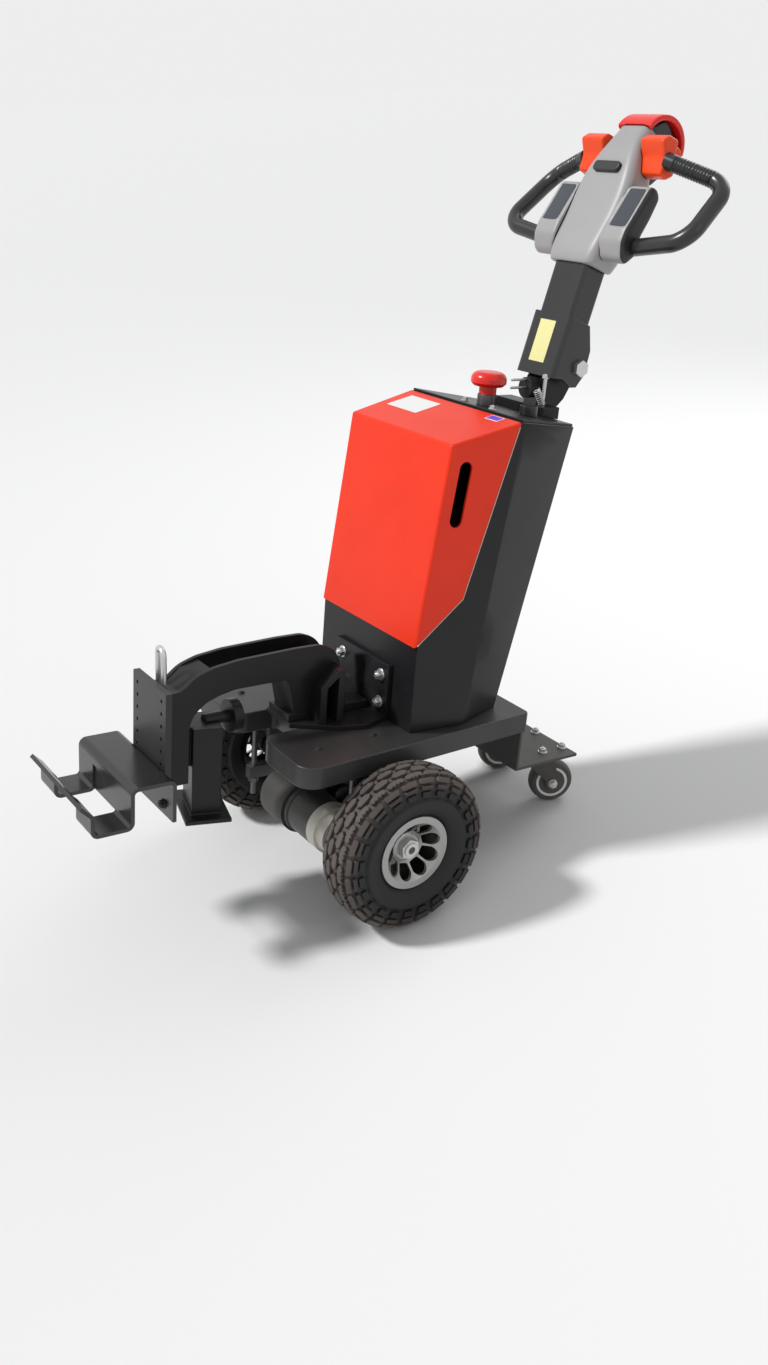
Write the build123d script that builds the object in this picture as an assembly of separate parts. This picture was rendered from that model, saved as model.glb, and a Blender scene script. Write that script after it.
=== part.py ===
from build123d import *
import os
from math import atan2, cos, degrees, hypot, pi, radians, sin, tan

os.makedirs("parts", exist_ok=True)

# Electric tow tractor, walk-behind, in millimetres.
# +Z is up and the floor is z = 0. The drive axle is the line y = 0, z = axle_height, and x = 0 is
# the middle plane. The hitch points to -Y, the tiller and its operator stand on the +Y side, and
# +X is the left-hand side of an operator who holds the tiller and faces the machine.
# All that the chassis carries is drawn level, in the body frame, and is then tipped about the
# drive axle by the parked pitch, because the machine parks with its hitch end high.
parked_pitch = 7.6

# Drive wheels
axle_height = 134.0
tyre_diameter = 268.0
tyre_width = 82.0
wheel_outer_face = 257.0
rim_flange_diameter = 122.0
rim_flange_sheet = 4.0
rim_inset = 10.0
rim_wall = 3.5
rim_ring_inner_diameter = 100.0
rim_disc_thickness = 6.0
rim_dish = 23.0
rim_hub_diameter = 42.0
rim_hub_length = 34.0
rim_slots = 9
tyre_bead_diameter = 116.0
axle_shaft_diameter = 24.0
axle_tube_diameter = 44.0
axle_tube_gap = 6.0
axle_tube_bore = 24.0
shaft_clearance = 0.3
hub_nut_width = 30.0
hub_nut_thickness = 10.0
shaft_end_length = 3.0

# Chassis plate, a folded sheet with a down-turned flange
plate_top = 276.5
plate_sheet = 6.0
plate_flange = 35.4
plate_front = -163.0
plate_rear = 293.4
plate_front_half_width = 181.0
plate_rear_half_width = 150.0
lobe_corner_radius = 30.0
plate_corner_radius = 10.0
notch_half_width = 42.0
notch_rear = -84.0

# Rear cross plate with the shelf that carries the casters
shelf_bottom = 162.9
shelf_thickness = 6.0
shelf_rear = 430.0
shelf_sheet = 6.0

# Casters
caster_x = 73.5
caster_y = 397.6
caster_trail = 30.0
caster_wheel_diameter = 80.0
caster_wheel_width = 26.0
caster_plate_length = 92.0
caster_plate_width = 66.0
caster_plate_thickness = 4.0
caster_heading = 63.0
caster_fork_sheet = 4.0
caster_fork_gap = 3.0
caster_race_diameter = 52.0
caster_race_height = 9.0
caster_axle_diameter = 10.0
caster_swivel_gap = 0.5

# Column
column_sheet = 4.0
column_half_width = 133.4
column_foot_front = 56.0
column_side_rear_foot = 155.2
column_side_rear_top = 214.0
column_side_half_width = 141.0
column_back_half_width = 105.5
column_back_foot = 252.2
column_back_top = 350.0
column_top = 742.0
column_top_front = 762.0

# Red cover on the front of the column
cover_sheet = 3.0
cover_fold_radius = 5.0
cover_front_top = (85.9, 731.5)
cover_front_bottom = (51.5, 419.8)
cover_side_bottom = (131.0, 492.0)
cover_rear_top = (205.4, 761.3)
cover_rear_half_width = 143.5
cover_slot_bottom = (103.0, 607.0)
cover_slot_top = (115.0, 706.0)
cover_slot_width = 22.0

# Battery pack inside the column
battery_size = (210.0, 120.0, 320.0)
battery_y = 166.0

# Emergency stop, key switch and the fittings behind the cover
deck_sheet = 4.0
deck_lip = 2.0
stop_place = (0.0, 253.0)
stop_head_diameter = 57.0
stop_head_height = 22.0
stop_neck_diameter = 28.0
stop_neck_height = 16.0
stop_collar_diameter = 31.0
stop_collar_top = 778.0
key_place = (72.0, 280.0)
key_diameter = 28.0

# Tiller pivot and tiller
pivot_y = 402.0
pivot_z = 823.0
pivot_bolt_diameter = 16.0
pivot_block_width = 44.0
sleeve_half_width = 40.0
sleeve_sheet = 5.0
tube_half_width = 37.0
tube_wall = 3.0
tube_corner_radius = 7.0
sleeve_fold_radius = 9.0
tube_depth = 50.0
tube_foot = 862.0
tube_head = 1004.0
tube_line_point = (380.0, 924.0)
tube_lean = 0.263
sleeve_gap = 0.2
sleeve_bottom = 808.0
sleeve_top = 905.0
bumper_diameter = 34.0
bumper_length = 21.0
bumper_place = (331.0, 786.0)

# Tiller head
spine_sections = (
    # y and z of the front face's middle, half width, depth
    (388.0, 984.0, 51.0, 60.0),
    (398.0, 1015.0, 56.0, 66.0),
    (414.0, 1045.0, 58.0, 66.0),
    (438.0, 1098.0, 58.0, 62.0),
    (458.0, 1142.0, 48.0, 56.0),
    (496.0, 1193.0, 36.0, 36.0),
)
wing_inner = 50.0
wing_outer = 103.0
wing_edge_radius = 6.0
wing_corners = (
    # y, z, corner radius
    (402.0, 998.0, 9.0), (399.0, 1021.0, 9.0), (406.0, 1040.0, 9.0), (447.0, 1103.0, 9.0),
    (463.0, 1101.0, 9.0), (472.0, 1086.0, 9.0), (457.0, 1054.0, 9.0), (441.0, 1027.0, 9.0),
    (444.0, 1006.0, 9.0), (414.0, 985.0, 9.0),
)
display_foot = (408.6, 1044.0)
display_head = (444.4, 1099.0)
display_width = 34.0
display_middle = 78.0
display_sheet = 3.0
display_recess = 0.8
cap_half_width = 37.0
cap_edge_radius = 2.5
cap_outer_arc = ((494.0, 1192.0), (541.0, 1209.0), (576.0, 1152.0))
cap_inner_arc = ((568.0, 1152.0), (538.0, 1200.0), (498.0, 1184.0))
core_half_width = 30.0
core_corners = (
    # y, z, corner radius
    (470.0, 1106.0, 4.0), (490.0, 1180.0, 0.0), (536.0, 1204.0, 0.0), (572.0, 1162.0, 4.0),
    (564.0, 1136.0, 8.0), (520.0, 1104.0, 8.0),
)
handle_diameter = 27.0
handle_points = ((96.0, 432.0, 1013.0), (206.0, 429.0, 1030.0), (192.0, 517.0, 1112.0), (88.0, 486.0, 1141.0))
handle_corner_radius = 34.0
lever_inner = 42.0
lever_outer = 92.0
lever_edge_radius = 3.0
lever_corners = (
    # y, z, corner radius
    (472.0, 1120.0, 5.0), (477.0, 1146.0, 9.0), (469.0, 1170.0, 4.0), (484.0, 1178.0, 5.0),
    (505.0, 1171.0, 5.0), (500.0, 1146.0, 9.0), (504.0, 1120.0, 5.0), (488.0, 1113.0, 6.0),
)
lever_hub = (508.0, 1148.0, 30.0)
rocker_size = (56.0, 16.0, 8.0)
rocker_corner_radius = 6.0
rocker_edge_radius = 1.5

# Drive unit under the plate
motor_diameter = 80.0
motor_y = -66.0
motor_z = 128.0
motor_clamp_gap = 2.2
motor_flange_diameter = 84.0
motor_flange_length = 10.0
motor_cap_length = 18.0
gearcase_half_width = 34.0
gearcase_radius = 62.0
clamp_plate_clearance = 0.65
clamp_width = 15.0
clamp_foot = 12.0
clamp_bolt_y = 58.0
clamp_bolt_bottom = 66.0
clamp_bolt_diameter = 10.0

# Hitch bracket bolted to the column's foot
ledge_thickness = 8.0
ledge_wall_half_width = 76.0
ledge_wall_top = 371.0
ledge_points = ((90.0, 4.0), (78.0, -39.0), (36.0, -106.0))
ledge_gusset_top = 367.0
ledge_gusset_sheet = 8.0

# Gooseneck arm
arm_half_width = 31.0
arm_plate = 8.0
arm_base_thickness = 12.0
arm_web_drop = 2.0
arm_base_front = -105.0
arm_base_rear = 44.0

# Hole plate and hook bracket
holeplate_front = -327.0
holeplate_thickness = 10.0
holeplate_half_width = 55.6
holeplate_top = 378.0
holeplate_bottom = 230.0
hole_diameter = 6.0
hole_column_x = 41.0
hole_first = 363.0
hole_pitch = 20.0
hole_rows = 7
hook_sheet = 6.0
hook_half_width = 96.0
hook_top = 262.0
hook_front = -392.0
hook_rear_bottom = 194.0
hook_tray_bottom = 196.0
hook_tray_front = -458.0
hook_lip_top = 232.0
hook_lip_flare = 18.0
hook_window_half_width = 42.0
hook_window_top = 242.0
hook_bend = 6.0
hook_hole_x = 64.0
hook_hole_z = 210.0
hook_hole_diameter = 9.0

# Post with its foot, hung under the arm
post_width = 68.0
post_depth = 46.0
post_top = 300.0
post_foot = 150.0
post_foot_thickness = 7.0
post_foot_size = (110.0, 72.0)
post_centre = (0.0, -237.0)
post_yaw = -15.0
post_lug_width = 34.0
post_lug_bottom = 236.0

# Cross tube with its end disc
crosstube_diameter = 20.0
crosstube_z = 300.0
crosstube_disc_diameter = 53.0
crosstube_disc_y = -188.0
crosstube_disc_thickness = 16.0

# The origin lies under the middle of the overall length, this far behind the drive axle
origin_y = 126.8

# Steel loop
ring_wire = 9.0

parts = {}


def tipped(shape):
    """Turn a shape from the level body frame to the parked pose, about the drive axle."""
    return Pos(0, 0, axle_height) * Rot(-parked_pitch, 0, 0) * Pos(0, 0, -axle_height) * shape


def both(shape):
    """A piece on the +X side together with its mirror image, as two solids of one node."""
    return Compound(children=[shape, mirror(shape, Plane.YZ)])


def mirrored(points):
    """Close a half outline given on the +X side with its own mirror image."""
    return list(points) + [(-x, y) for x, y in reversed(points)]


def side_profile(points, x0, x1):
    """Extrude an outline of (y, z) points from x0 to x1."""
    face = make_face(Polyline(*points, close=True))
    return extrude(Plane.YZ.offset(x0) * face, x1 - x0)


def plan_profile(points, z0, z1):
    """Extrude an outline of (x, y) points from z0 up to z1."""
    face = make_face(Polyline(*points, close=True))
    return extrude(Plane.XY.offset(z0) * face, z1 - z0)


def rounded(face, spots, radius):
    """Round the corners of a flat face that lie at the given points."""
    for spot in spots:
        face = fillet([v for v in face.vertices() if (Vector(v) - Vector(*spot)).length < 0.01], radius)
    return face


def rod(start, end, diameter):
    """A round bar from one point to another."""
    start = Vector(*start)
    along = Vector(*end) - start
    plane = Plane(origin=start, z_dir=along)
    return plane * Cylinder(diameter / 2, along.length, align=(Align.CENTER, Align.CENTER, Align.MIN))


def cross_rod(x0, x1, y, z, diameter):
    """A round bar along X."""
    return rod((x0, y, z), (x1, y, z), diameter)


def hexagon(across_flats, height):
    """A hexagonal prism standing on the XY plane."""
    return extrude(RegularPolygon(across_flats / 2, 6, major_radius=False), height)


def block(x0, x1, y0, y1, z0, z1):
    """A box given by its six faces."""
    return Pos((x0 + x1) / 2, (y0 + y1) / 2, (z0 + z1) / 2) * Box(x1 - x0, y1 - y0, z1 - z0)


def long_edges(shape, count):
    """The longest edges of a profile that was extruded along X, apart from those along X."""
    return shape.edges().filter_by(Axis.X, reverse=True).sort_by(SortBy.LENGTH)[-count:]


def rounded_profile(corners, x0, x1):
    """Extrude an outline of (y, z, corner radius) points from x0 to x1, with its corners rounded."""
    face = make_face(Polyline(*[(y, z) for y, z, radius in corners], close=True))
    for y, z, radius in corners:
        if radius:
            face = rounded(face, [(y, z)], radius)
    return extrude(Plane.YZ.offset(x0) * face, x1 - x0)


def outer_rim(shape):
    """Edges round the face of a shape that lies farthest out along X."""
    return shape.faces().sort_by(Axis.X)[-1].edges()


def on_side(shape, side):
    """A shape drawn on the +X side, or its mirror image for side -1."""
    return shape if side > 0 else mirror(shape, Plane.YZ)


# Drive wheels

def tyre(side):
    outer = wheel_outer_face
    inner = wheel_outer_face - tyre_width
    middle = (outer + inner) / 2
    tread = tyre_diameter / 2
    bead = tyre_bead_diameter / 2
    lip = rim_flange_diameter / 2 + 0.2
    crown = tyre_width * 0.30
    shoulder = tread - 12.0
    wall = tread - 44.0
    bead_outer = outer - rim_inset - rim_flange_sheet
    bead_inner = inner + rim_inset + rim_flange_sheet
    outline = (
        Line((bead_inner, bead), (bead_outer, bead))
        + Line((bead_outer, bead), (bead_outer, lip))
        + Line((bead_outer, lip), (outer - 3, bead + 11))
        + ThreePointArc((outer - 3, bead + 11), (outer, wall), (outer - 5, shoulder))
        + ThreePointArc((outer - 5, shoulder), (outer - 9, shoulder + 6), (middle + crown, tread - 3))
        + ThreePointArc((middle + crown, tread - 3), (middle, tread), (middle - crown, tread - 3))
        + ThreePointArc((middle - crown, tread - 3), (inner + 9, shoulder + 6), (inner + 5, shoulder))
        + ThreePointArc((inner + 5, shoulder), (inner, wall), (inner + 3, bead + 11))
        + Line((inner + 3, bead + 11), (bead_inner, lip))
        + Line((bead_inner, lip), (bead_inner, bead))
    )
    ring = revolve(make_face(outline), Axis.X, 360)
    return Pos(0, 0, axle_height) * on_side(ring, side)


def rim_disc_outer():
    return wheel_outer_face - rim_inset


def hub_face():
    """Outer face of the rim's hub, at the bottom of the dish."""
    return rim_disc_outer() - rim_dish + 2.0


def rim(side):
    """Barrel with its two flanges, a dished disc with petal openings, and the hub."""
    outer = rim_disc_outer()
    inner = wheel_outer_face - tyre_width + rim_inset
    flange = rim_flange_diameter / 2
    seat = tyre_bead_diameter / 2
    bore = seat - rim_wall
    ring = rim_ring_inner_diameter / 2
    hub = rim_hub_diameter / 2
    shaft = axle_shaft_diameter / 2
    disc = rim_disc_thickness
    dish = outer - rim_dish
    profile = [
        (outer, flange), (outer - rim_flange_sheet, flange), (outer - rim_flange_sheet, seat),
        (inner + rim_flange_sheet, seat), (inner + rim_flange_sheet, flange), (inner, flange),
        (inner, bore), (outer - disc, bore), (outer - disc, ring), (dish - disc, hub + 3),
        (dish - disc, hub), (hub_face() - rim_hub_length, hub), (hub_face() - rim_hub_length, shaft),
        (hub_face(), shaft), (hub_face(), hub), (dish, hub + 3), (outer, ring),
    ]
    wheel = revolve(make_face(Polyline(*profile, close=True)), Axis.X, 360)
    slot = slot_shape(hub + 6, ring - 1)
    for step in range(rim_slots):
        wheel -= Pos(dish - disc - 1, 0, 0) * Rot(360 / rim_slots * step, 0, 0) * slot
    return Pos(0, 0, axle_height) * on_side(wheel, side)


def slot_shape(inner, outer):
    """A petal-shaped opening, narrow at the hub and round at the rim, for the disc at x = 0."""
    half_inner = inner * tan(pi / rim_slots) - 2.2
    half_outer = outer * tan(pi / rim_slots) * 0.66
    face = make_face(
        Line((-half_inner, inner), (half_inner, inner))
        + Line((half_inner, inner), (half_outer, outer - half_outer))
        + ThreePointArc((half_outer, outer - half_outer), (0, outer), (-half_outer, outer - half_outer))
        + Line((-half_outer, outer - half_outer), (-half_inner, inner))
    )
    return extrude(Plane.YZ * face, rim_dish + rim_disc_thickness)


def hub_fittings(side):
    """The drive shaft in the wheel, with its nut and hollow end outside."""
    nut_seat = hub_face()
    end = nut_seat + hub_nut_thickness + shaft_end_length
    shaft = cross_rod(clamp_x() - clamp_width, end, 0, 0, axle_shaft_diameter - 2 * shaft_clearance)
    nut = Plane(origin=(nut_seat, 0, 0), z_dir=(1, 0, 0)) * hexagon(hub_nut_width, hub_nut_thickness)
    bore = cross_rod(end - 14, end + 1, 0, 0, axle_shaft_diameter * 0.5)
    return Pos(0, 0, axle_height) * on_side(shaft + nut - bore, side)


# Chassis

def plate_half_width_at(y):
    """Half the plate's width, on its outer face, at a place along its length."""
    share = (y - plate_front) / (plate_rear - plate_front)
    return plate_front_half_width + share * (plate_rear_half_width - plate_front_half_width)


def clamp_x():
    """Middle of the axle clamps, which stand just inside the plate's flanges."""
    slant = hypot(1, (plate_front_half_width - plate_rear_half_width) / (plate_rear - plate_front))
    flange = plate_half_width_at(clamp_bolt_y + clamp_foot) - plate_sheet * slant
    return flange - clamp_plate_clearance - clamp_width / 2


def plate_outline():
    """Rounded face of the plate's outline, with a lobe on each side of the front notch."""
    half = [
        (notch_half_width, notch_rear),
        (notch_half_width, plate_front),
        (plate_front_half_width, plate_front),
        (plate_rear_half_width, plate_rear),
    ]
    face = make_face(Polyline(*mirrored(half), close=True))
    face = rounded(face, mirrored(half[1:3]), lobe_corner_radius)
    return rounded(face, mirrored([half[0], half[3]]), plate_corner_radius)


def chassis_plate():
    outline = plate_outline()
    hollow = offset(outline, -plate_sheet)
    bottom = plate_top - plate_flange
    body = extrude(Plane.XY.offset(bottom) * outline, plate_flange)
    return body - extrude(Plane.XY.offset(bottom - 1) * hollow, plate_flange - plate_sheet + 1)


def rear_shelf():
    """Upright cross plate under the chassis plate's rear edge, with the shelf that takes the casters."""
    half = plate_rear_half_width - plate_corner_radius
    bend = plate_rear - shelf_sheet
    wall = block(-half, half, bend, plate_rear, shelf_bottom, plate_top - plate_flange)
    shelf = block(-half, half, bend, shelf_rear, shelf_bottom, shelf_bottom + shelf_thickness)
    return wall + shelf


# Casters

def caster_race_bottom():
    return shelf_bottom - caster_plate_thickness - caster_race_height


def caster_mount():
    """Top plate with its ball race under the shelf."""
    z = shelf_bottom
    plate = Pos(caster_x, caster_y, z - caster_plate_thickness / 2) * Box(
        caster_plate_length, caster_plate_width, caster_plate_thickness)
    race = rod((caster_x, caster_y, z - caster_plate_thickness), (caster_x, caster_y, caster_race_bottom()),
               caster_race_diameter)
    return plate + race


def caster_wheel_centre(side):
    """Wheel centre in the level body frame, found so that the wheel stands on the floor."""
    heading = radians(caster_heading)
    x = side * caster_x + caster_trail * cos(heading)
    y = caster_y + caster_trail * sin(heading)
    pitch = radians(parked_pitch)
    drop = axle_height - caster_wheel_diameter / 2
    z = axle_height - (drop - y * sin(pitch)) / cos(pitch)
    return x, y, z


def caster_fork(side):
    """Two cheeks and a crown that turn under the race, with the wheel's axle between them."""
    wheel_z = caster_wheel_centre(side)[2]
    top = caster_race_bottom() - caster_swivel_gap
    inside = caster_wheel_width / 2 + caster_fork_gap
    outside = inside + caster_fork_sheet
    drop = top - wheel_z
    reach = caster_trail
    boss = caster_axle_diameter / 2 + 8.0
    half = caster_race_diameter / 2 - 2.0
    cheek = make_face(
        Line((-half, 0), (half, 0))
        + Line((half, 0), (reach + boss, -drop + 4))
        + ThreePointArc((reach + boss, -drop + 4), (reach, -drop - boss), (reach - boss, -drop + 4))
        + Line((reach - boss, -drop + 4), (-half, -14))
        + Line((-half, -14), (-half, 0))
    )
    near = Plane(origin=(0, -inside, 0), x_dir=(1, 0, 0), z_dir=(0, -1, 0))
    cheeks = extrude(near * cheek, caster_fork_sheet)
    cheeks += mirror(cheeks, Plane.XZ)
    crown = Pos(0, 0, -caster_fork_sheet / 2) * Box(2 * half, 2 * outside, caster_fork_sheet)
    axle = rod((reach, -outside - 5, -drop), (reach, outside + 5, -drop), caster_axle_diameter)
    return Pos(side * caster_x, caster_y, top) * Rot(0, 0, caster_heading) * (cheeks + crown + axle)


def caster_wheel(side):
    radius = caster_wheel_diameter / 2
    half = caster_wheel_width / 2
    bore = caster_axle_diameter / 2 + shaft_clearance
    face = make_face(
        Line((bore, -half), (radius - 5, -half))
        + ThreePointArc((radius - 5, -half), (radius, 0), (radius - 5, half))
        + Line((radius - 5, half), (bore, half))
        + Line((bore, half), (bore, -half))
    )
    wheel = Rot(90, 0, 0) * revolve(Plane.XZ * face, Axis.Z, 360)
    return Pos(*caster_wheel_centre(side)) * Rot(0, 0, caster_heading) * wheel


# Column

def column_section(z, inset):
    """Plan outline of the folded column at a height, as half points on the +X side."""
    share = (z - plate_top) / (column_top - plate_top)
    rear = column_side_rear_foot + share * (column_side_rear_top - column_side_rear_foot)
    back = column_back_foot + share * (column_back_top - column_back_foot)
    front = column_front(z)
    return [
        (column_half_width - inset, front + inset),
        (column_side_half_width - inset, rear - inset * 0.4),
        (column_back_half_width - inset * 0.8, back - inset),
    ]


def column_front(z):
    """Front face of the column: upright foot, then leaning back behind the cover."""
    y_low, z_low = cover_front_bottom
    y_high, z_high = cover_front_top
    lean = (y_high - y_low) / (z_high - z_low)
    return column_foot_front + max(0.0, z - z_low) * lean


def column_top_at(y):
    """Height of the column's sloping top."""
    y_front = cover_rear_top[0]
    share = (y - y_front) / (column_back_top - y_front)
    return column_top_front + share * (column_top - column_top_front)


def over_slope(lift, height):
    """Block of space above the column's sloping top, lifted by a distance."""
    y0 = 0.0
    y1 = column_back_top + 100.0
    z0 = column_top_at(y0) + lift
    z1 = column_top_at(y1) + lift
    return side_profile([(y0, z0), (y1, z1), (y1, z1 + height), (y0, z0 + height)], -200, 200)


def column_solid(inset, z0, z1):
    levels = [z for z in (z0, cover_front_bottom[1], z1)]
    sections = []
    for z in levels:
        points = mirrored(column_section(z, inset))
        sections.append(Plane.XY.offset(z) * make_face(Polyline(*points, close=True)))
    lower = loft(sections[:2], ruled=True)
    upper = loft(sections[1:], ruled=True)
    return lower + upper


def cover_side_outline():
    return [cover_front_bottom, cover_side_bottom, cover_rear_top, cover_front_top]


def column_shell():
    """Folded sheet column. The cover closes its front above the foot, so it is open there."""
    peak = column_top_front + 10
    body = column_solid(0, plate_top, peak) - over_slope(0, 200)
    hollow = column_solid(column_sheet, plate_top + column_sheet, peak) - over_slope(-column_sheet, 200)
    y_low, z_low = cover_front_bottom
    y_side, z_side = cover_side_bottom
    y_rear, z_rear = cover_rear_top
    y_end = y_rear + (y_rear - y_side) / (z_rear - z_side) * 60
    mouth = [(y_low - 20, z_low), (y_low, z_low), (y_side, z_side), (y_rear, z_rear),
             (y_end, z_rear + 60), (y_low - 20, z_rear + 60)]
    return body - hollow - side_profile(mouth, -200, 200)


def cover_body(inset, reach):
    """Corners of the cover's flat side on +X, moved in by a sheet and reaching past its open edges."""
    (y2, z2), (yg, zg), (y3, z3), (y1, z1) = cover_side_outline()
    half_front = column_half_width + 0.2 - inset
    half_rear = cover_rear_half_width - inset
    corners = [
        Vector(half_front, y2 + inset, z2 - reach), Vector(half_front, y1 + inset, z1 - inset),
        Vector(half_rear, y3 + reach, z3 - inset),
    ]
    out = (corners[1] - corners[0]).cross(corners[2] - corners[0])
    step_y = yg + reach - corners[0].Y
    step_z = zg - reach - corners[0].Z
    x = corners[0].X - (out.Y * step_y + out.Z * step_z) / out.X
    return corners + [Vector(x, yg + reach, zg - reach)]


def hexahedron(side):
    """Closed solid between a flat four-cornered side on +X and its mirror image."""
    other = [Vector(-corner.X, corner.Y, corner.Z) for corner in side]
    rings = [side, other]
    for i in range(len(side)):
        rings.append([side[i - 1], side[i], other[i], other[i - 1]])
    return Solid(Shell([Face(Wire.make_polygon(ring, close=True)) for ring in rings]))


def cover_folds(solid):
    """The folded edges of the cover: both upright ones in front and those round its top."""
    (y2, z2), low, rear, (y1, z1) = cover_side_outline()
    spots = []
    for side in (-1, 1):
        half = side * (column_half_width + 0.2)
        spots.append(Vector(half, (y1 + y2) / 2, (z1 + z2) / 2))
        middle = (half + side * cover_rear_half_width) / 2
        spots.append(Vector(middle, (y1 + rear[0]) / 2, (z1 + rear[1]) / 2))
    spots.append(Vector(0, y1, z1))
    return [e for e in solid.edges() if min((e.center() - spot).length for spot in spots) < 0.01]


def red_cover():
    outer = hexahedron(cover_body(0, 0))
    outer = fillet(cover_folds(outer), cover_fold_radius)
    shell = outer - hexahedron(cover_body(cover_sheet, 12))
    y0, z0 = cover_slot_bottom
    y1, z1 = cover_slot_top
    lean = degrees(atan2(y1 - y0, z1 - z0))
    length = hypot(y1 - y0, z1 - z0)
    slot = extrude(SlotOverall(length, cover_slot_width), 200, both=True)
    cut = Pos(0, (y0 + y1) / 2, (z0 + z1) / 2) * Rot(-lean, 0, 0) * Rot(0, 90, 0) * slot
    return shell - cut


def column_deck():
    """Black strip on the column's sloping top, behind the cover."""
    side = column_side_half_width - deck_lip
    outline = mirrored([
        (side, cover_rear_top[0] + 4), (side, column_side_rear_top),
        (column_back_half_width - deck_lip, column_back_top - deck_lip),
    ])
    return plan_profile(outline, column_top - 20, column_top_front + 20) & over_slope(0, deck_sheet)


def on_deck(shape):
    """Trim a piece so that it sits on the deck's sloping top."""
    return shape - over_slope(deck_sheet - 100, 100)


def battery_pack():
    """Heavy block that stands on the column's floor."""
    z = plate_top + column_sheet + battery_size[2] / 2
    return Pos(0, battery_y, z) * Box(*battery_size)


def stop_collar():
    x, y = stop_place
    return on_deck(rod((x, y, column_top_at(y) - 5), (x, y, stop_collar_top), stop_collar_diameter))


def stop_button():
    x, y = stop_place
    radius = stop_head_diameter / 2
    neck = rod((x, y, stop_collar_top), (x, y, stop_collar_top + stop_neck_height), stop_neck_diameter)
    base = stop_collar_top + stop_neck_height - 3
    head = Pos(x, y, base + stop_head_height / 2) * Cylinder(radius, stop_head_height)
    head = fillet(head.edges().filter_by(GeomType.CIRCLE).sort_by(Axis.Z)[-1], stop_head_height * 0.55)
    head = chamfer(head.edges().filter_by(GeomType.CIRCLE).sort_by(Axis.Z)[0], 5)
    return neck + head


def key_switch():
    x, y = key_place
    base = column_top_at(y)
    barrel = rod((x, y, base - 5), (x, y, base + 20), key_diameter)
    return on_deck(barrel) + Pos(x, y, base + 26) * Box(5, 22, 12)


# Tiller mounting on top of the column

def pivot_block():
    """Cross rail on the deck and the upright web that carries the tiller's pivot bolt."""
    half = pivot_block_width / 2
    y0 = column_back_top - 28
    top = column_top + 22
    front = bumper_place[0] + bumper_length
    rail = block(-60, 60, y0, front + 4, column_top - 10, top)
    web = side_profile(
        [(front, column_top - 10), (front, pivot_z - 21), (front + 14, pivot_z - 5),
         (pivot_y - 14, pivot_z + 15), (pivot_y + 14, pivot_z + 15), (pivot_y + 21, pivot_z - 8),
         (pivot_y - 4, column_top + 28), (front + 6, column_top - 10)],
        -half, half)
    hole = cross_rod(-half - 5, half + 5, pivot_y, pivot_z, pivot_bolt_diameter)
    return on_deck(rail + web) - hole


def bumper():
    """Rubber buffer on the front of the web, under the sleeve's lower edge."""
    y, z = bumper_place
    return rod((0, y, z), (0, y + bumper_length, z), bumper_diameter)


def pivot_bolt():
    seat = sleeve_half_width + sleeve_sheet
    shank = cross_rod(-seat - 2, seat + 2, pivot_y, pivot_z, pivot_bolt_diameter - 2 * shaft_clearance)
    head = Plane(origin=(seat, pivot_y, pivot_z), z_dir=(1, 0, 0)) * hexagon(24, 8)
    return shank + head + mirror(head, Plane.YZ)


def tube_front(z, offset_out=0.0):
    """The leaning front face line of the tiller tube, moved out by a distance."""
    y, z_line = tube_line_point
    return y + (z - z_line) * tube_lean - offset_out * hypot(1, tube_lean)


def tiller_sleeve():
    """U-shaped folded bracket round the tube's foot, open to the rear."""
    out = sleeve_gap + sleeve_sheet
    outer_half = sleeve_half_width + sleeve_sheet
    outline = [
        (tube_front(sleeve_bottom, out), sleeve_bottom), (tube_front(sleeve_top, out), sleeve_top),
        (pivot_y + 12, pivot_z + 66), (pivot_y + 20, pivot_z + 27), (pivot_y + 13, pivot_z - 12),
        (pivot_y - 2, pivot_z - 31), (pivot_y - 14, pivot_z - 31), (pivot_y - 34, pivot_z - 17),
    ]
    outer = side_profile(outline, -outer_half, outer_half)
    outer = fillet(long_edges(outer, 2), sleeve_fold_radius)
    z0 = sleeve_bottom - 30
    z1 = sleeve_top + 10
    rear = pivot_y + 60
    inside = [(tube_front(z0, sleeve_gap), z0), (tube_front(z1, sleeve_gap), z1), (rear, z1), (rear, z0)]
    inner = side_profile(inside, -sleeve_half_width, sleeve_half_width)
    inner = fillet(long_edges(inner, 2), sleeve_fold_radius - sleeve_sheet)
    return outer - inner - cross_rod(-80, 80, pivot_y, pivot_z, pivot_bolt_diameter)


def tube_solid(inset):
    """The leaning rectangular bar of the tiller, moved in by a wall."""
    z0 = tube_foot - inset * 2
    z1 = tube_head + inset * 2
    depth = tube_depth - 2 * inset
    y0 = tube_front(z0) + inset
    y1 = tube_front(z1) + inset
    outline = [(y0, z0), (y1, z1), (y1 + depth, z1), (y0 + depth, z0)]
    bar = side_profile(outline, -tube_half_width + inset, tube_half_width - inset)
    return fillet(long_edges(bar, 4), tube_corner_radius - inset)


def tiller_tube():
    return tube_solid(0) - tube_solid(tube_wall)


# Tiller head

def head_spine():
    sections = []
    count = len(spine_sections)
    for i, (y, z, half, depth) in enumerate(spine_sections):
        before = spine_sections[max(i - 1, 0)]
        after = spine_sections[min(i + 1, count - 1)]
        along = Vector(0, after[0] - before[0], after[1] - before[1]).normalized()
        back = Vector(1, 0, 0).cross(along) * -1
        centre = Vector(0, y, z) + back * (depth / 2)
        plane = Plane(origin=centre, x_dir=(1, 0, 0), z_dir=along)
        sections.append(plane * RectangleRounded(2 * half, depth, min(16, depth / 2 - 3)))
    return loft(sections) - tube_solid(0)


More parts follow.
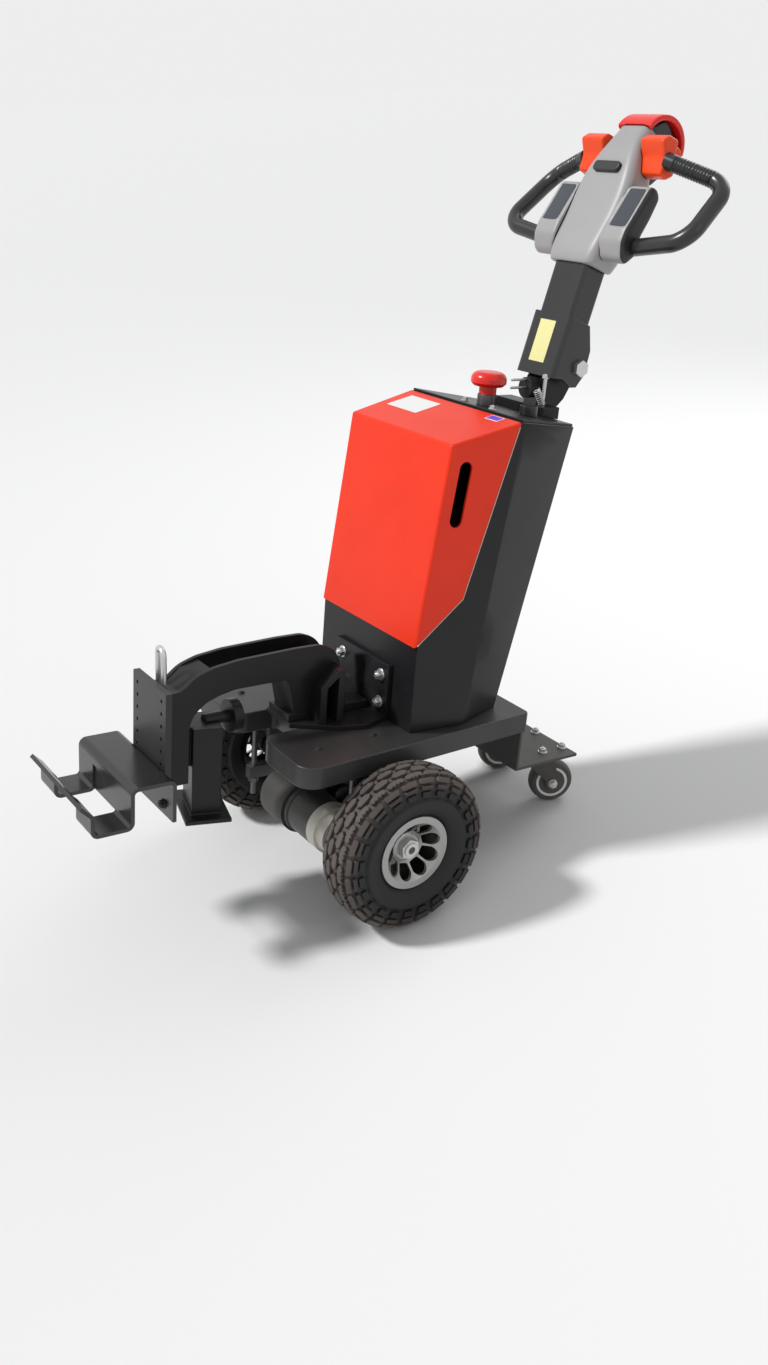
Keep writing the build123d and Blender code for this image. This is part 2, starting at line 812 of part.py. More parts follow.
def display_plane():
    """Plane on the wings' sloping front, with its normal pointing out of it."""
    y0, z0 = display_foot
    y1, z1 = display_head
    along = Vector(0, y1 - y0, z1 - z0).normalized()
    normal = Vector(0, -along.Z, along.Y)
    return Plane(origin=(display_middle, (y0 + y1) / 2, (z0 + z1) / 2), x_dir=(1, 0, 0), z_dir=normal)


def display_length():
    return hypot(display_head[0] - display_foot[0], display_head[1] - display_foot[1])


def head_wing():
    """Side panel of the head beside the spine, with a pocket for its display."""
    wing = rounded_profile(wing_corners, wing_inner, wing_outer)
    wing = fillet(outer_rim(wing), wing_edge_radius)
    floor = display_recess + display_sheet
    pocket = Pos(0, 0, 5 - floor / 2) * Box(display_width, display_length(), 10 + floor)
    return wing - head_spine() - display_plane() * pocket


def display():
    """Dark window let into the front of the wing."""
    slab = Pos(0, 0, -display_recess - display_sheet / 2) * Box(display_width, display_length(), display_sheet)
    return display_plane() * slab


def head_cap():
    """Red pressure cap, an arch from the spine's top over to the rear."""
    outer = ThreePointArc(*cap_outer_arc)
    inner = ThreePointArc(*cap_inner_arc)
    rear = Line(cap_outer_arc[2], cap_inner_arc[0])
    front = Line(cap_inner_arc[2], cap_outer_arc[0])
    face = make_face(outer + rear + inner + front)
    cap = extrude(Plane.YZ.offset(-cap_half_width) * face, 2 * cap_half_width)
    cap = fillet(cap.edges().filter_by(GeomType.CIRCLE), cap_edge_radius)
    return cap - head_spine()


def head_core():
    """Dark body under the cap that carries the levers."""
    core = rounded_profile(core_corners, -core_half_width, core_half_width)
    return core - head_cap() - head_spine()


def thumb_lever():
    """Orange lever beside the spine, on a hub that comes out of the core."""
    y, z, diameter = lever_hub
    lever = rounded_profile(lever_corners, lever_inner, lever_outer)
    lever = fillet(outer_rim(lever), lever_edge_radius)
    hub = cross_rod(core_half_width, lever_outer - 8, y, z, diameter)
    return lever + hub - head_spine() - head_core() - head_cap()


def handle():
    """Bent bar from the wing's side round to the end of the lever."""
    path = FilletPolyline(*handle_points, radius=handle_corner_radius)
    start = Plane(origin=path @ 0, z_dir=path % 0)
    bar = sweep(start * Circle(handle_diameter / 2), path=path)
    return bar - head_wing() - thumb_lever()


def rocker_switch():
    plane = Plane(origin=(0, 450.0, 1127), x_dir=(1, 0, 0), z_dir=Vector(0, -0.9, 0.43))
    width, height, depth = rocker_size
    key = extrude(RectangleRounded(width, height, rocker_corner_radius), depth)
    key = fillet(key.faces().sort_by(Axis.Z)[-1].edges(), rocker_edge_radius)
    return plane * Pos(0, 0, 6 - depth) * key - head_spine()


# Drive unit

def gearcase():
    around_axle = cross_rod(-gearcase_half_width, gearcase_half_width, 0, axle_height, 2 * gearcase_radius)
    around_motor = cross_rod(-gearcase_half_width, gearcase_half_width, motor_y, motor_z, motor_diameter + 12)
    bridge = block(-gearcase_half_width, gearcase_half_width, motor_y, 0, axle_height - 46, axle_height + 40)
    return around_axle + around_motor + bridge


def drive_motor():
    near = clamp_x() - clamp_width / 2 - motor_clamp_gap
    end = near - motor_cap_length
    body = cross_rod(gearcase_half_width, end, motor_y, motor_z, motor_diameter)
    cap = cross_rod(end, near, motor_y, motor_z, motor_diameter - 10)
    flange = cross_rod(gearcase_half_width, gearcase_half_width + motor_flange_length, motor_y, motor_z,
                       motor_flange_diameter)
    return body + cap + flange


def axle_tube():
    end = hub_face() - rim_hub_length - axle_tube_gap
    tube = cross_rod(gearcase_half_width, end, 0, axle_height, axle_tube_diameter)
    return tube - cross_rod(gearcase_half_width + 20, end + 1, 0, axle_height, axle_tube_bore)


def axle_clamp():
    """Hanger from the chassis plate down to the axle tube, held by two long bolts and a bar."""
    x0 = clamp_x() - clamp_width / 2
    x1 = clamp_x() + clamp_width / 2
    top = plate_top - plate_sheet
    radius = axle_tube_diameter / 2
    wide = clamp_bolt_y + clamp_foot
    hanger = side_profile(
        [(-wide, top), (wide, top), (wide, top - 22), (radius + 10, axle_height + 48),
         (radius + 10, axle_height), (-radius - 10, axle_height), (-radius - 10, axle_height + 48),
         (-wide, top - 22)], x0, x1)
    bar = block(x0, x1, -wide, wide, axle_height - radius - 14, axle_height - radius + 8)
    clamp = hanger + bar - cross_rod(x0 - 1, x1 + 1, 0, axle_height, axle_tube_diameter)
    for y in (-clamp_bolt_y, clamp_bolt_y):
        clamp += rod((clamp_x(), y, clamp_bolt_bottom), (clamp_x(), y, top - 10), clamp_bolt_diameter)
        clamp += Pos(clamp_x(), y, axle_height - radius - 22) * hexagon(16, 8)
    return clamp


# Hitch

def hitch_bracket():
    """L-shaped plate: a ledge on the chassis plate and a wall against the column's foot."""
    wall_front = column_foot_front - ledge_thickness
    outline = mirrored(((ledge_wall_half_width, wall_front),) + ledge_points)
    ledge = plan_profile(outline, plate_top, plate_top + ledge_thickness)
    wall = block(-ledge_wall_half_width, ledge_wall_half_width, wall_front, column_foot_front,
                 plate_top, ledge_wall_top)
    base_rear = arm_base_rear + 0.3
    base_top = plate_top + ledge_thickness + arm_base_thickness + 0.3
    gusset = side_profile(
        [(wall_front, ledge_gusset_top), (wall_front, plate_top + ledge_thickness),
         (base_rear, plate_top + ledge_thickness), (base_rear, base_top), (32, ledge_gusset_top)],
        -ledge_gusset_sheet / 2, ledge_gusset_sheet / 2)
    return ledge + wall + gusset


def arm_front():
    return holeplate_front + holeplate_thickness


def arm_corners():
    """Side view of the gooseneck as (y, z, corner radius), over the neck from front to rear and back under."""
    base_top = plate_top + ledge_thickness + arm_base_thickness
    front = arm_front()
    return [
        (front, 215, 0), (front, 366, 8), (-290, 367, 20), (-268, 386, 60), (-238, 396, 60),
        (-195, 402, 100), (-100, 406, 100), (-55, 406, 40), (-33, 398, 40), (-18, 382, 40),
        (0, base_top, 0), (-95, base_top, 0), (-109, 357, 12), (-202, 356, 60), (-226, 351, 60),
        (-248, 343, 40), (-276, 321, 40), (-276, 215, 0),
    ]


def arm_plate_side():
    return rounded_profile(arm_corners(), arm_half_width - arm_plate, arm_half_width)


def arm_base():
    z0 = plate_top + ledge_thickness
    return block(-arm_half_width, arm_half_width, arm_base_front, arm_base_rear, z0, z0 + arm_base_thickness)


def arm_web():
    """Plates between the gooseneck's sides: front slope, rear leg and the back of the front leg."""
    inner = arm_half_width - arm_plate
    front = arm_front()
    base_top = plate_top + ledge_thickness + arm_base_thickness
    slope = side_profile([(front, 366), (-290, 367), (-268, 386), (-238, 394), (-238, 388),
                          (-264, 379), (-286, 360), (front, 359)], -inner, inner)
    slope = Pos(0, 0, -arm_web_drop) * slope
    leg = side_profile([(-109, 357), (-95, base_top), (-87, base_top), (-101, 357)], -inner, inner)
    back = side_profile([(-284, 321), (-276, 321), (-276, 225), (-284, 225)], -inner, inner)
    return Compound(children=[slope - pull_ring(shaft_clearance), leg, back])


def arm_lock():
    """Welded staple on the side of the arm's foot."""
    x0 = arm_half_width
    x1 = arm_half_width + 29
    z0 = plate_top + ledge_thickness
    front = block(x0, x1, -66, -54, z0, 345)
    rear = block(x0, x1, -34, -22, z0, 365)
    top = side_profile([(-66, 345), (-34, 371), (-22, 371), (-22, 359), (-34, 359), (-60, 338)], x0, x1)
    return front + rear + top


def hole_plate():
    rear = holeplate_front + holeplate_thickness
    plate = block(-holeplate_half_width, holeplate_half_width, holeplate_front, rear,
                  holeplate_bottom, holeplate_top)
    for x in (-hole_column_x, hole_column_x):
        for row in range(hole_rows):
            z = hole_first - row * hole_pitch
            plate -= rod((x, holeplate_front - 1, z), (x, rear + 1, z), hole_diameter)
    return plate


def folded_sheet(points, sheet, bend, x0, x1):
    """Extrude a sheet folded along (y, z) points, which give its outline's right-hand side."""
    corners = [Vector(y, z, 0) for y, z in points]
    ways = [(b - a).normalized() for a, b in zip(corners, corners[1:])]
    ways = [ways[0]] + ways + [ways[-1]]
    left = []
    for corner, before, after in zip(corners, ways, ways[1:]):
        normal = Vector(-before.Y - after.Y, before.X + after.X, 0).normalized()
        reach = sheet / normal.dot(Vector(-before.Y, before.X, 0))
        left.append(corner + normal * reach)
    face = make_face(Polyline(*corners, *reversed(left), close=True))
    for i in range(1, len(corners) - 1):
        turns_left = ways[i].cross(ways[i + 1]).Z > 0
        inner, outer = (left[i], corners[i]) if turns_left else (corners[i], left[i])
        face = rounded(face, [inner], bend)
        face = rounded(face, [outer], bend + sheet)
    return extrude(Plane.YZ.offset(x0) * face, x1 - x0)


def hook_bracket():
    """One folded plate: rear leg, top, front leg, two trays and their flared lips."""
    t = hook_sheet
    lip = hook_tray_front + t
    points = [
        (holeplate_front, hook_rear_bottom), (holeplate_front, hook_top), (hook_front - t, hook_top),
        (hook_front - t, hook_tray_bottom + t), (lip, hook_tray_bottom + t), (lip, hook_lip_top),
        (lip - hook_lip_flare, hook_lip_top + hook_lip_flare),
    ]
    body = folded_sheet(points, t, hook_bend, -hook_half_width, hook_half_width)
    body -= block(-hook_window_half_width, hook_window_half_width, hook_tray_front - 60, hook_front - t / 2,
                  hook_tray_bottom - 10, hook_window_top)
    for x in (-hook_hole_x, hook_hole_x):
        body -= rod((x, holeplate_front - t - 1, hook_hole_z), (x, holeplate_front + 1, hook_hole_z),
                    hook_hole_diameter)
    return body


def pull_ring(clearance=0.0):
    """Steel loop behind the top of the hole plate."""
    path = FilletPolyline((-18, -303, 350), (-18, -305, 424), (4, -307, 424), (4, -305, 350), radius=9)
    start = Plane(origin=path @ 0, z_dir=path % 0)
    return sweep(start * Circle(ring_wire / 2 + clearance), path=path)


def post():
    """Square post with its foot plate, carried by a lug on the back of the arm's front leg."""
    foot_w, foot_d = post_foot_size
    tube_bottom = post_foot + post_foot_thickness
    tube = Pos(0, 0, (post_top + tube_bottom) / 2) * Box(post_width, post_depth, post_top - tube_bottom)
    foot = Pos(0, 0, post_foot + post_foot_thickness / 2) * Box(foot_w, foot_d, post_foot_thickness)
    x, y = post_centre
    lug = block(-post_lug_width / 2, post_lug_width / 2, -276, y, post_lug_bottom, post_top)
    return Pos(x, y, 0) * Rot(0, 0, post_yaw) * (tube + foot) + lug


def cross_tube():
    """Round tube on the post, with a thick disc at its end."""
    z = crosstube_z
    half = crosstube_disc_thickness / 2
    bar = rod((0, post_centre[1], z), (0, crosstube_disc_y - half, z), crosstube_diameter)
    disc = rod((0, crosstube_disc_y - half, z), (0, crosstube_disc_y + half, z), crosstube_disc_diameter)
    return bar + disc - post()


sides = (("left", 1), ("right", -1))

for name, side in sides:
    parts["tyre_" + name] = tyre(side)
    parts["rim_" + name] = rim(side)
    parts["hub_" + name] = hub_fittings(side)
    parts["caster_wheel_" + name] = tipped(caster_wheel(side))
    parts["caster_fork_" + name] = tipped(caster_fork(side))
    parts["handle_" + name] = tipped(on_side(handle(), side))

carried = {
    "caster_mounts": both(caster_mount()),
    "axle_tubes": both(axle_tube()),
    "axle_clamps": both(axle_clamp()),
    "arm_sides": both(arm_plate_side()),
    "head_wings": both(head_wing()),
    "displays": both(display()),
    "thumb_levers": both(thumb_lever()),
    "chassis_plate": chassis_plate(),
    "rear_shelf": rear_shelf(),
    "column_shell": column_shell(),
    "red_cover": red_cover(),
    "column_deck": column_deck(),
    "battery_pack": battery_pack(),
    "stop_collar": stop_collar(),
    "stop_button": stop_button(),
    "key_switch": key_switch(),
    "pivot_block": pivot_block(),
    "bumper": bumper(),
    "pivot_bolt": pivot_bolt(),
    "tiller_sleeve": tiller_sleeve(),
    "tiller_tube": tiller_tube(),
    "head_spine": head_spine(),
    "head_core": head_core(),
    "head_cap": head_cap(),
    "rocker_switch": rocker_switch(),
    "gearcase": gearcase(),
    "drive_motor": drive_motor(),
    "hitch_bracket": hitch_bracket(),
    "arm_base": arm_base(),
    "arm_web": arm_web(),
    "arm_lock": arm_lock(),
    "hole_plate": hole_plate(),
    "hook_bracket": hook_bracket(),
    "pull_ring": pull_ring(),
    "post": post(),
    "cross_tube": cross_tube(),
}
for name, shape in carried.items():
    parts[name] = tipped(shape)

for name, shape in parts.items():
    export_step(Pos(0, -origin_y, 0) * shape, "parts/" + name + ".step")
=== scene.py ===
import bpy
import bmesh
import math
from mathutils import Vector, Matrix


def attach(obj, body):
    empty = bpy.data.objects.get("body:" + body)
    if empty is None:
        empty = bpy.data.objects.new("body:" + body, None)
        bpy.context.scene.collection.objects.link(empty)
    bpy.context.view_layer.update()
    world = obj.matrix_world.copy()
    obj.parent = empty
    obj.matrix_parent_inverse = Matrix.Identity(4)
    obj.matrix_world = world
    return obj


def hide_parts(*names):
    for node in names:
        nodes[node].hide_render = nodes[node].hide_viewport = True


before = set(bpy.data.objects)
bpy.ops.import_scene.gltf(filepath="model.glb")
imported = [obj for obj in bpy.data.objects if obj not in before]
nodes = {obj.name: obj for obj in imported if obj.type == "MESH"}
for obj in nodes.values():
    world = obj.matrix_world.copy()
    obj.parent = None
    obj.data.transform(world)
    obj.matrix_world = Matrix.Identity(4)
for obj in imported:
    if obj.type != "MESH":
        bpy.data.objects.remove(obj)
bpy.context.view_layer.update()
print("stage: frame loaded,", len(nodes), "nodes")

# The chassis is drawn level in millimetres and stands pitched about the drive axle.
stance = {"pitch": math.radians(7.6), "axleHeight": 134.0, "originY": 126.8}


def tip(x, y, z):
    c, s = math.cos(stance["pitch"]), math.sin(stance["pitch"])
    h = z - stance["axleHeight"]
    return Vector((x, y * c + h * s - stance["originY"], stance["axleHeight"] + h * c - y * s)) / 1000


def tipDirection(x, y, z):
    c, s = math.cos(stance["pitch"]), math.sin(stance["pitch"])
    return Vector((x, y * c + z * s, z * c - y * s))


# Shader node helpers
def newGroup(name, inputs, outputs):
    group = bpy.data.node_groups.new(name, "ShaderNodeTree")
    for label, value in inputs.items():
        kind = "NodeSocketColor" if isinstance(value, tuple) else "NodeSocketFloat"
        socket = group.interface.new_socket(label, in_out="INPUT", socket_type=kind)
        socket.default_value = value
    for label in outputs:
        kind = "NodeSocketColor" if label == "Colour" else "NodeSocketFloat"
        group.interface.new_socket(label, in_out="OUTPUT", socket_type=kind)
    return group, group.nodes.new("NodeGroupInput"), group.nodes.new("NodeGroupOutput")


def mathNode(tree, operation, first, second=None, clamp=False):
    node = tree.nodes.new("ShaderNodeMath")
    node.operation = operation
    node.use_clamp = clamp
    for slot, value in ((0, first), (1, second)):
        if value is None:
            continue
        if isinstance(value, (int, float)):
            node.inputs[slot].default_value = value
        else:
            tree.links.new(value, node.inputs[slot])
    return node.outputs[0]


def mixColour(tree, share, first, second):
    node = tree.nodes.new("ShaderNodeMix")
    node.data_type = "RGBA"
    tree.links.new(share, node.inputs["Factor"])
    for slot, value in (("A", first), ("B", second)):
        socket = next(s for s in node.inputs if s.name == slot and s.type == "RGBA")
        if isinstance(value, tuple):
            socket.default_value = value
        else:
            tree.links.new(value, socket)
    return next(s for s in node.outputs if s.type == "RGBA")


def noiseNode(tree, scale, detail, vector=None):
    node = tree.nodes.new("ShaderNodeTexNoise")
    node.inputs["Detail"].default_value = detail
    if isinstance(scale, (int, float)):
        node.inputs["Scale"].default_value = scale
    else:
        tree.links.new(scale, node.inputs["Scale"])
    if vector is None:
        vector = tree.nodes.new("ShaderNodeTexCoord").outputs["Object"]
    tree.links.new(vector, node.inputs["Vector"])
    return node.outputs["Fac"]


# Camera, floor and lights
cameraPlace = {"place": (1.5482, -1.0386, 1.2096), "azimuth": 56.355, "elevation": 26.254,
               "roll": -2.041, "focalPixels": 1245.05, "longSide": 1365.0, "sensorWidth": 36.0}


def makeCamera():
    a = math.radians(cameraPlace["azimuth"])
    e = math.radians(cameraPlace["elevation"])
    r = math.radians(cameraPlace["roll"])
    right = Vector((math.cos(a), math.sin(a), 0))
    back = Vector((math.sin(a) * math.cos(e), -math.cos(a) * math.cos(e), math.sin(e)))
    up = back.cross(right)
    rolledRight = math.cos(r) * right + math.sin(r) * up
    rolledUp = -math.sin(r) * right + math.cos(r) * up
    data = bpy.data.cameras.new("camera")
    data.sensor_width = cameraPlace["sensorWidth"]
    data.lens = cameraPlace["focalPixels"] / cameraPlace["longSide"] * cameraPlace["sensorWidth"]
    camera = bpy.data.objects.new("camera", data)
    turn = Matrix((rolledRight, rolledUp, back)).transposed().to_4x4()
    camera.matrix_world = Matrix.Translation(cameraPlace["place"]) @ turn
    bpy.context.scene.collection.objects.link(camera)
    bpy.context.scene.camera = camera


studio = {"floorColour": (0.80, 0.80, 0.795, 1), "floorRoughness": 0.9, "floorReach": 60.0,
          "worldColour": (0.97, 0.98, 1.0, 1), "worldStrength": 0.42,
          "shownColour": (0.85, 0.85, 0.85, 1), "shownStrength": 1.0}
lamps = [
    # name, kind, place, aimed at, size in metres or spread in degrees, watts or sun strength
    ("keySun", "SUN", (-1.3, -2.6, 3.1), (0, 0, 0), 7.0, 2.7),
    ("sideLight", "AREA", (2.8, 0.6, 2.2), (0, 0, 0.5), 1.6, 5.0),
    ("backLight", "AREA", (-0.6, 2.8, 2.4), (0, 0, 0.7), 1.8, 26.0),
]


def makeFloor():
    mesh = bpy.data.meshes.new("floor")
    r = studio["floorReach"]
    mesh.from_pydata([(-r, -r, 0), (r, -r, 0), (r, r, 0), (-r, r, 0)], [], [(0, 1, 2, 3)])
    floor = bpy.data.objects.new("floor", mesh)
    bpy.context.scene.collection.objects.link(floor)
    material = bpy.data.materials.new("floorFinish")
    material.use_nodes = True
    shader = material.node_tree.nodes["Principled BSDF"]
    shader.inputs["Base Color"].default_value = studio["floorColour"]
    shader.inputs["Roughness"].default_value = studio["floorRoughness"]
    mesh.materials.append(material)


def backgroundNode(tree, colour, strength):
    node = tree.nodes.new("ShaderNodeBackground")
    node.inputs["Color"].default_value = colour
    node.inputs["Strength"].default_value = strength
    return node


# The world lights the object softly. The camera, mirrors and glass see a plain pale backdrop instead.
def makeWorld():
    world = bpy.data.worlds.new("studio")
    bpy.context.scene.world = world
    world.use_nodes = True
    tree = world.node_tree
    tree.nodes.clear()
    out = tree.nodes.new("ShaderNodeOutputWorld")
    lit = backgroundNode(tree, studio["worldColour"], studio["worldStrength"])
    shown = backgroundNode(tree, studio["shownColour"], studio["shownStrength"])
    path = tree.nodes.new("ShaderNodeLightPath")
    seen = mathNode(tree, "ADD", path.outputs["Is Camera Ray"], path.outputs["Is Glossy Ray"], True)
    seen = mathNode(tree, "ADD", seen, path.outputs["Is Transmission Ray"], True)
    mix = tree.nodes.new("ShaderNodeMixShader")
    tree.links.new(seen, mix.inputs[0])
    tree.links.new(lit.outputs[0], mix.inputs[1])
    tree.links.new(shown.outputs[0], mix.inputs[2])
    tree.links.new(mix.outputs[0], out.inputs[0])


def makeLamps():
    for name, kind, place, aim, size, power in lamps:
        data = bpy.data.lights.new(name, kind)
        data.energy = power
        if kind == "SUN":
            data.angle = math.radians(size)
        else:
            data.size = size
        lamp = bpy.data.objects.new(name, data)
        lamp.location = place
        lamp.rotation_mode = "QUATERNION"
        lamp.rotation_quaternion = (Vector(aim) - Vector(place)).to_track_quat("-Z", "Y")
        bpy.context.scene.collection.objects.link(lamp)


makeCamera()
makeFloor()
makeWorld()
makeLamps()
bpy.context.scene.view_settings.view_transform = "Standard"
print("stage: camera, floor and lights")


# Shader effects that several materials use
grainShape = {"detail": 2.0, "broadScale": 14.0, "broadDetail": 4.0}
dustShape = {"colour": (0.36, 0.33, 0.28, 1), "reach": 0.35, "scale": 22.0, "detail": 6.0}
scuffShape = {"scale": 40.0, "stretch": (1.0, 7.0, 1.6), "turn": (0.4, 0.7, 0.3), "detail": 8.0,
              "threshold": 0.62, "contrast": 6.0}
creaseShape = {"distance": 0.005, "threshold": 0.36, "contrast": 3.0, "samples": 8}


def objectPlace(tree):
    place = tree.nodes.new("ShaderNodeTexCoord")
    split = tree.nodes.new("ShaderNodeSeparateXYZ")
    tree.links.new(place.outputs["Object"], split.inputs[0])
    return split.outputs


def axleDistance(tree, place):
    y = mathNode(tree, "ADD", place["Y"], stance["originY"] / 1000)
    z = mathNode(tree, "SUBTRACT", place["Z"], stance["axleHeight"] / 1000)
    squares = mathNode(tree, "ADD", mathNode(tree, "MULTIPLY", y, y), mathNode(tree, "MULTIPLY", z, z))
    return mathNode(tree, "SQRT", squares)


def makeGrainGroup():
    group, source, sink = newGroup("surfaceGrain", {"Scale": 900.0, "Amount": 0.5}, ["Height", "Variation"])
    fine = noiseNode(group, source.outputs["Scale"], grainShape["detail"])
    broad = noiseNode(group, grainShape["broadScale"], grainShape["broadDetail"])
    height = mathNode(group, "MULTIPLY", fine, source.outputs["Amount"])
    group.links.new(height, sink.inputs["Height"])
    group.links.new(broad, sink.inputs["Variation"])
    return group


def makeDustGroup():
    group, source, sink = newGroup(
        "dustFilm",
        {"Colour": (1, 1, 1, 1), "Dust": dustShape["colour"], "Amount": 0.3, "Reach": dustShape["reach"]},
        ["Colour", "Mask"])
    height = mathNode(group, "DIVIDE", objectPlace(group)["Z"], source.outputs["Reach"])
    low = mathNode(group, "SUBTRACT", 1.0, height, True)
    blotch = mathNode(group, "MULTIPLY", low, noiseNode(group, dustShape["scale"], dustShape["detail"]))
    mask = mathNode(group, "MULTIPLY", blotch, source.outputs["Amount"], True)
    mixed = mixColour(group, mask, source.outputs["Colour"], source.outputs["Dust"])
    group.links.new(mask, sink.inputs["Mask"])
    group.links.new(mixed, sink.inputs["Colour"])
    return group


def makeScuffGroup():
    group, source, sink = newGroup("fineScuffs", {"Scale": scuffShape["scale"], "Amount": 0.5}, ["Mask"])
    place = group.nodes.new("ShaderNodeTexCoord")
    stretch = group.nodes.new("ShaderNodeMapping")
    stretch.inputs["Scale"].default_value = scuffShape["stretch"]
    stretch.inputs["Rotation"].default_value = scuffShape["turn"]
    group.links.new(place.outputs["Object"], stretch.inputs["Vector"])
    lines = noiseNode(group, source.outputs["Scale"], scuffShape["detail"], stretch.outputs["Vector"])
    high = mathNode(group, "SUBTRACT", lines, scuffShape["threshold"], True)
    sharp = mathNode(group, "MULTIPLY", high, scuffShape["contrast"], True)
    group.links.new(mathNode(group, "MULTIPLY", sharp, source.outputs["Amount"], True), sink.inputs["Mask"])
    return group


# Each band group starts its mask at From, and Width is how soft the start is.
def newBandGroup(name, extra):
    return newGroup(name, {"From": 0.1, "Width": 0.001, **extra}, ["Mask"])


def endBand(group, source, sink, distance):
    reach = mathNode(group, "SUBTRACT", distance, source.outputs["From"])
    group.links.new(mathNode(group, "DIVIDE", reach, source.outputs["Width"], True), sink.inputs["Mask"])
    return group


def makeSideGroup():
    group, source, sink = newBandGroup("sideBand", {})
    return endBand(group, source, sink, mathNode(group, "ABSOLUTE", objectPlace(group)["X"]))


def makeWheelGroup():
    group, source, sink = newBandGroup("wheelRadius", {})
    return endBand(group, source, sink, axleDistance(group, objectPlace(group)))


# Mask for the rim: it marks where the painted shade inside the dish ends.
def makeDishGroup():
    group, source, sink = newBandGroup("dishedFace", {"Slope": 0.793, "Rim": 0.050})
    place = objectPlace(group)
    radius = mathNode(group, "MINIMUM", axleDistance(group, place), source.outputs["Rim"])
    dish = mathNode(group, "MULTIPLY", radius, source.outputs["Slope"])
    outward = mathNode(group, "SUBTRACT", mathNode(group, "ABSOLUTE", place["X"]), dish)
    return endBand(group, source, sink, outward)


# Painted shade: a mask from ambient occlusion that darkens creases and joints where the light is hidden.
def makeCreaseGroup():
    group, source, sink = newGroup(
        "paintedCreaseShade",
        {"Distance": creaseShape["distance"], "Threshold": creaseShape["threshold"],
         "Contrast": creaseShape["contrast"]},
        ["Mask"])
    near = group.nodes.new("ShaderNodeAmbientOcclusion")
    near.samples = creaseShape["samples"]
    group.links.new(source.outputs["Distance"], near.inputs["Distance"])
    hidden = mathNode(group, "SUBTRACT", 1.0, near.outputs["AO"])
    deep = mathNode(group, "SUBTRACT", hidden, source.outputs["Threshold"], True)
    group.links.new(mathNode(group, "MULTIPLY", deep, source.outputs["Contrast"], True), sink.inputs["Mask"])
    return group


effects = {"grain": makeGrainGroup(), "dust": makeDustGroup(), "scuffs": makeScuffGroup(),
           "sideBand": makeSideGroup(), "wheelRadius": makeWheelGroup(), "dishedFace": makeDishGroup(),
           "creases": makeCreaseGroup()}

